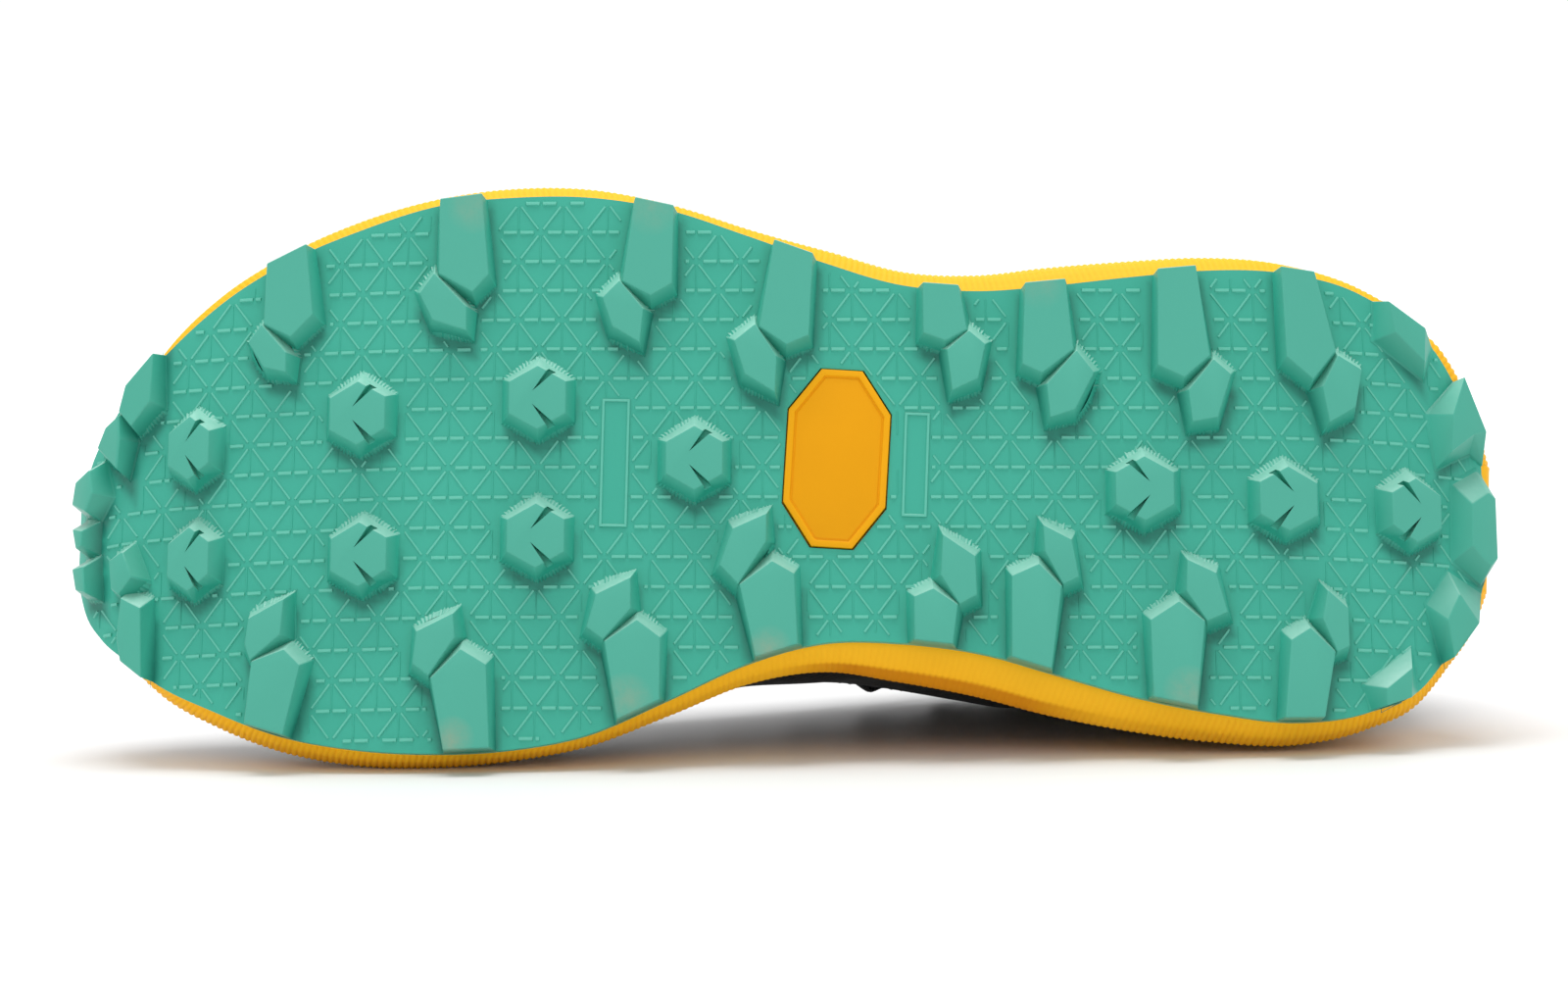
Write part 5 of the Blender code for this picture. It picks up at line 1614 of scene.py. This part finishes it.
def stitch_row(spots, squares, pitch=0.0026, radius=0.00022):
    """Stitches along a path of points: each a small swell of thread between two pinholes."""
    points = np.array([spot[:] for spot in spots])
    spread = travel(points)
    verts, faces = [], []
    for k in range(int(spread[-1] / pitch)):
        start, end = k * pitch + pitch * 0.12, (k + 1) * pitch - pitch * 0.12
        ends = [np.array([np.interp(s, spread, points[:, axis]) for axis in range(3)]) for s in (start, end)]
        near = int(np.clip(np.searchsorted(spread, (start + end) / 2), 0, len(squares) - 1))
        square = np.array(squares[near][:])
        run = ends[1] - ends[0]
        side = np.cross(run, square)
        side /= np.linalg.norm(side)
        first = len(verts)
        for share, fat in ((0, 0.3), (0.2, 0.9), (0.5, 1.0), (0.8, 0.9), (1, 0.3)):
            centre = ends[0] + run * share + square * radius * (1.6 * math.sin(math.pi * share) - 0.4)
            for turn in [math.tau * c / 6 for c in range(6)]:
                verts.append(centre + (side * math.cos(turn) + square * math.sin(turn)) * radius * fat)
        for a in range(first, first + 24):
            b = a - 5 if (a - first) % 6 == 5 else a + 1
            faces.append((a, b, b + 6, a + 6))
    return verts, faces


def make_stitches(material):
    """Sewn lines round the eyestay, the toe cap's and heel counter's edges, and below the collar."""
    fine = fine_places(TOP_LINE, 7)
    film = OVERLAY_GAP + OVERLAY
    stay = loop([0.415, *[along for along in fine if along > 0.415]])
    cap = loop([along for along in fine if along > 0.815])
    counter = heel_loop([along for along in fine if along < 0.168])
    mouth = heel_loop([along for along in fine if along < 0.395])

    def rim(along, side):
        return 1

    verts, faces = [], []
    for places, top, below, out in (
        (stay, rim, 0.0132, film), (stay, rim, 0.0031, film), (cap, cap_top, 0.0022, film),
        (counter, counter_top, 0.0022, film), (mouth, rim, 0.0062, 0.0001),
    ):
        spots, squares = [], []
        for along, side in places:
            up = top(along, side) - below / rib_length(along, side)
            spots.append(on_upper(along, side, up, out + crease(along, side, up)))
            away = on_upper(along, side, up, out + 0.001) - on_upper(along, side, up, out)
            squares.append(away.normalized())
        more, cells = stitch_row(spots, squares)
        faces += [tuple(corner + len(verts) for corner in cell) for cell in cells]
        verts += more
    mesh = bpy.data.meshes.new("stitches")
    mesh.from_pydata([tuple(vert) for vert in verts], [], faces)
    mesh.polygons.foreach_set("use_smooth", [True] * len(mesh.polygons))
    return finish_piece(new_piece("stitches", mesh), material)


def make_camera():
    """The camera looks square at the sole, a little from its lateral side."""
    tilt = math.radians(CAMERA_TILT)
    right = Vector((-1, 0, 0))
    up = Vector((0, math.cos(tilt), -math.sin(tilt)))
    back = Vector((0, -math.sin(tilt), -math.cos(tilt)))
    turn = AXES.to_3x3() @ Matrix((right, up, back)).transposed()
    target = AXES @ Vector(CAMERA_AIM)
    data = bpy.data.cameras.new("camera")
    data.lens = LENS
    camera = new_piece("camera", data)
    camera.matrix_world = Matrix.Translation(target + turn @ Vector((0, 0, CAMERA_AWAY))) @ turn.to_4x4()
    bpy.context.scene.camera = camera


def make_floor():
    """A white studio floor with a faint polish, brighter far away so that it meets the backdrop."""
    bpy.ops.object.select_all(action="DESELECT")
    bpy.ops.mesh.primitive_plane_add(size=12)
    floor = bpy.context.object
    floor.name = "studio_floor"
    finish = Finish("studio_floor")
    place = finish.node("TexCoord", out="Object")
    colour = finish.blend(finish.speckle(place, 2.0), *FLOOR_WHITE)
    away = finish.node("VectorMath", {"operation": "LENGTH"}, {0: place}, out=1)
    glow = finish.blend((away - GLOW_FROM).clamp(), (0, 0, 0), FLOOR_GLOW)
    material = finish.surface(
        Base_Color=colour, Roughness=0.42, Specular_IOR_Level=0.25,
        Emission_Color=glow, Emission_Strength=1.0,
    )
    floor.data.materials.append(material)


def add_panel():
    """The big soft panel overhead."""
    data = bpy.data.lights.new("sky_panel", "AREA")
    data.shape = "RECTANGLE"
    data.size, data.size_y = PANEL_SIZE
    data.energy = PANEL_POWER
    place = Vector(PANEL_PLACE)
    new_piece("sky_panel", data).matrix_world = aimed(place, place - Vector(PANEL_AIM))


def make_lights():
    """A white tent all round, seen a little brighter than it lights, with a soft panel overhead."""
    add_panel()
    world = bpy.data.worlds.new("studio")
    world.use_nodes = True
    tree = world.node_tree
    tent = tree.nodes["Background"]
    backdrop = tree.nodes.new("ShaderNodeBackground")
    for background, strength in ((tent, TENT_LIGHT), (backdrop, TENT_SEEN)):
        background.inputs["Color"].default_value = (1, 1, 1, 1)
        background.inputs["Strength"].default_value = strength
    seen = tree.nodes.new("ShaderNodeLightPath")
    choice = tree.nodes.new("ShaderNodeMixShader")
    tree.links.new(seen.outputs["Is Camera Ray"], choice.inputs[0])
    tree.links.new(tent.outputs[0], choice.inputs[1])
    tree.links.new(backdrop.outputs[0], choice.inputs[2])
    tree.links.new(choice.outputs[0], tree.nodes["World Output"].inputs["Surface"])
    bpy.context.scene.world = world
    bpy.context.scene.view_settings.view_transform = "Standard"


make_camera()
make_floor()
make_lights()

lining = cloth_finish("lining_knit", (0.007, 0.007, 0.008), (0.030, 0.030, 0.032), 0.0009)
footbed = cloth_finish("footbed_cloth", (0.020, 0.020, 0.022), (0.075, 0.075, 0.080), 0.0011)

make_outsole(rubber_finish())
make_badge(badge_finish())
make_midsole(foam_finish())
pegs = eyelet_cutters(EYELET / 2)
make_upper(mesh_finish(), pegs)
make_overlays(film_finish(), pegs)
bpy.data.objects.remove(pegs)
make_insole(footbed)
make_tongue(lining)
make_collar(lining)
make_lace(lace_finish())
make_stitches(thread_finish())

bpy.context.view_layer.update()
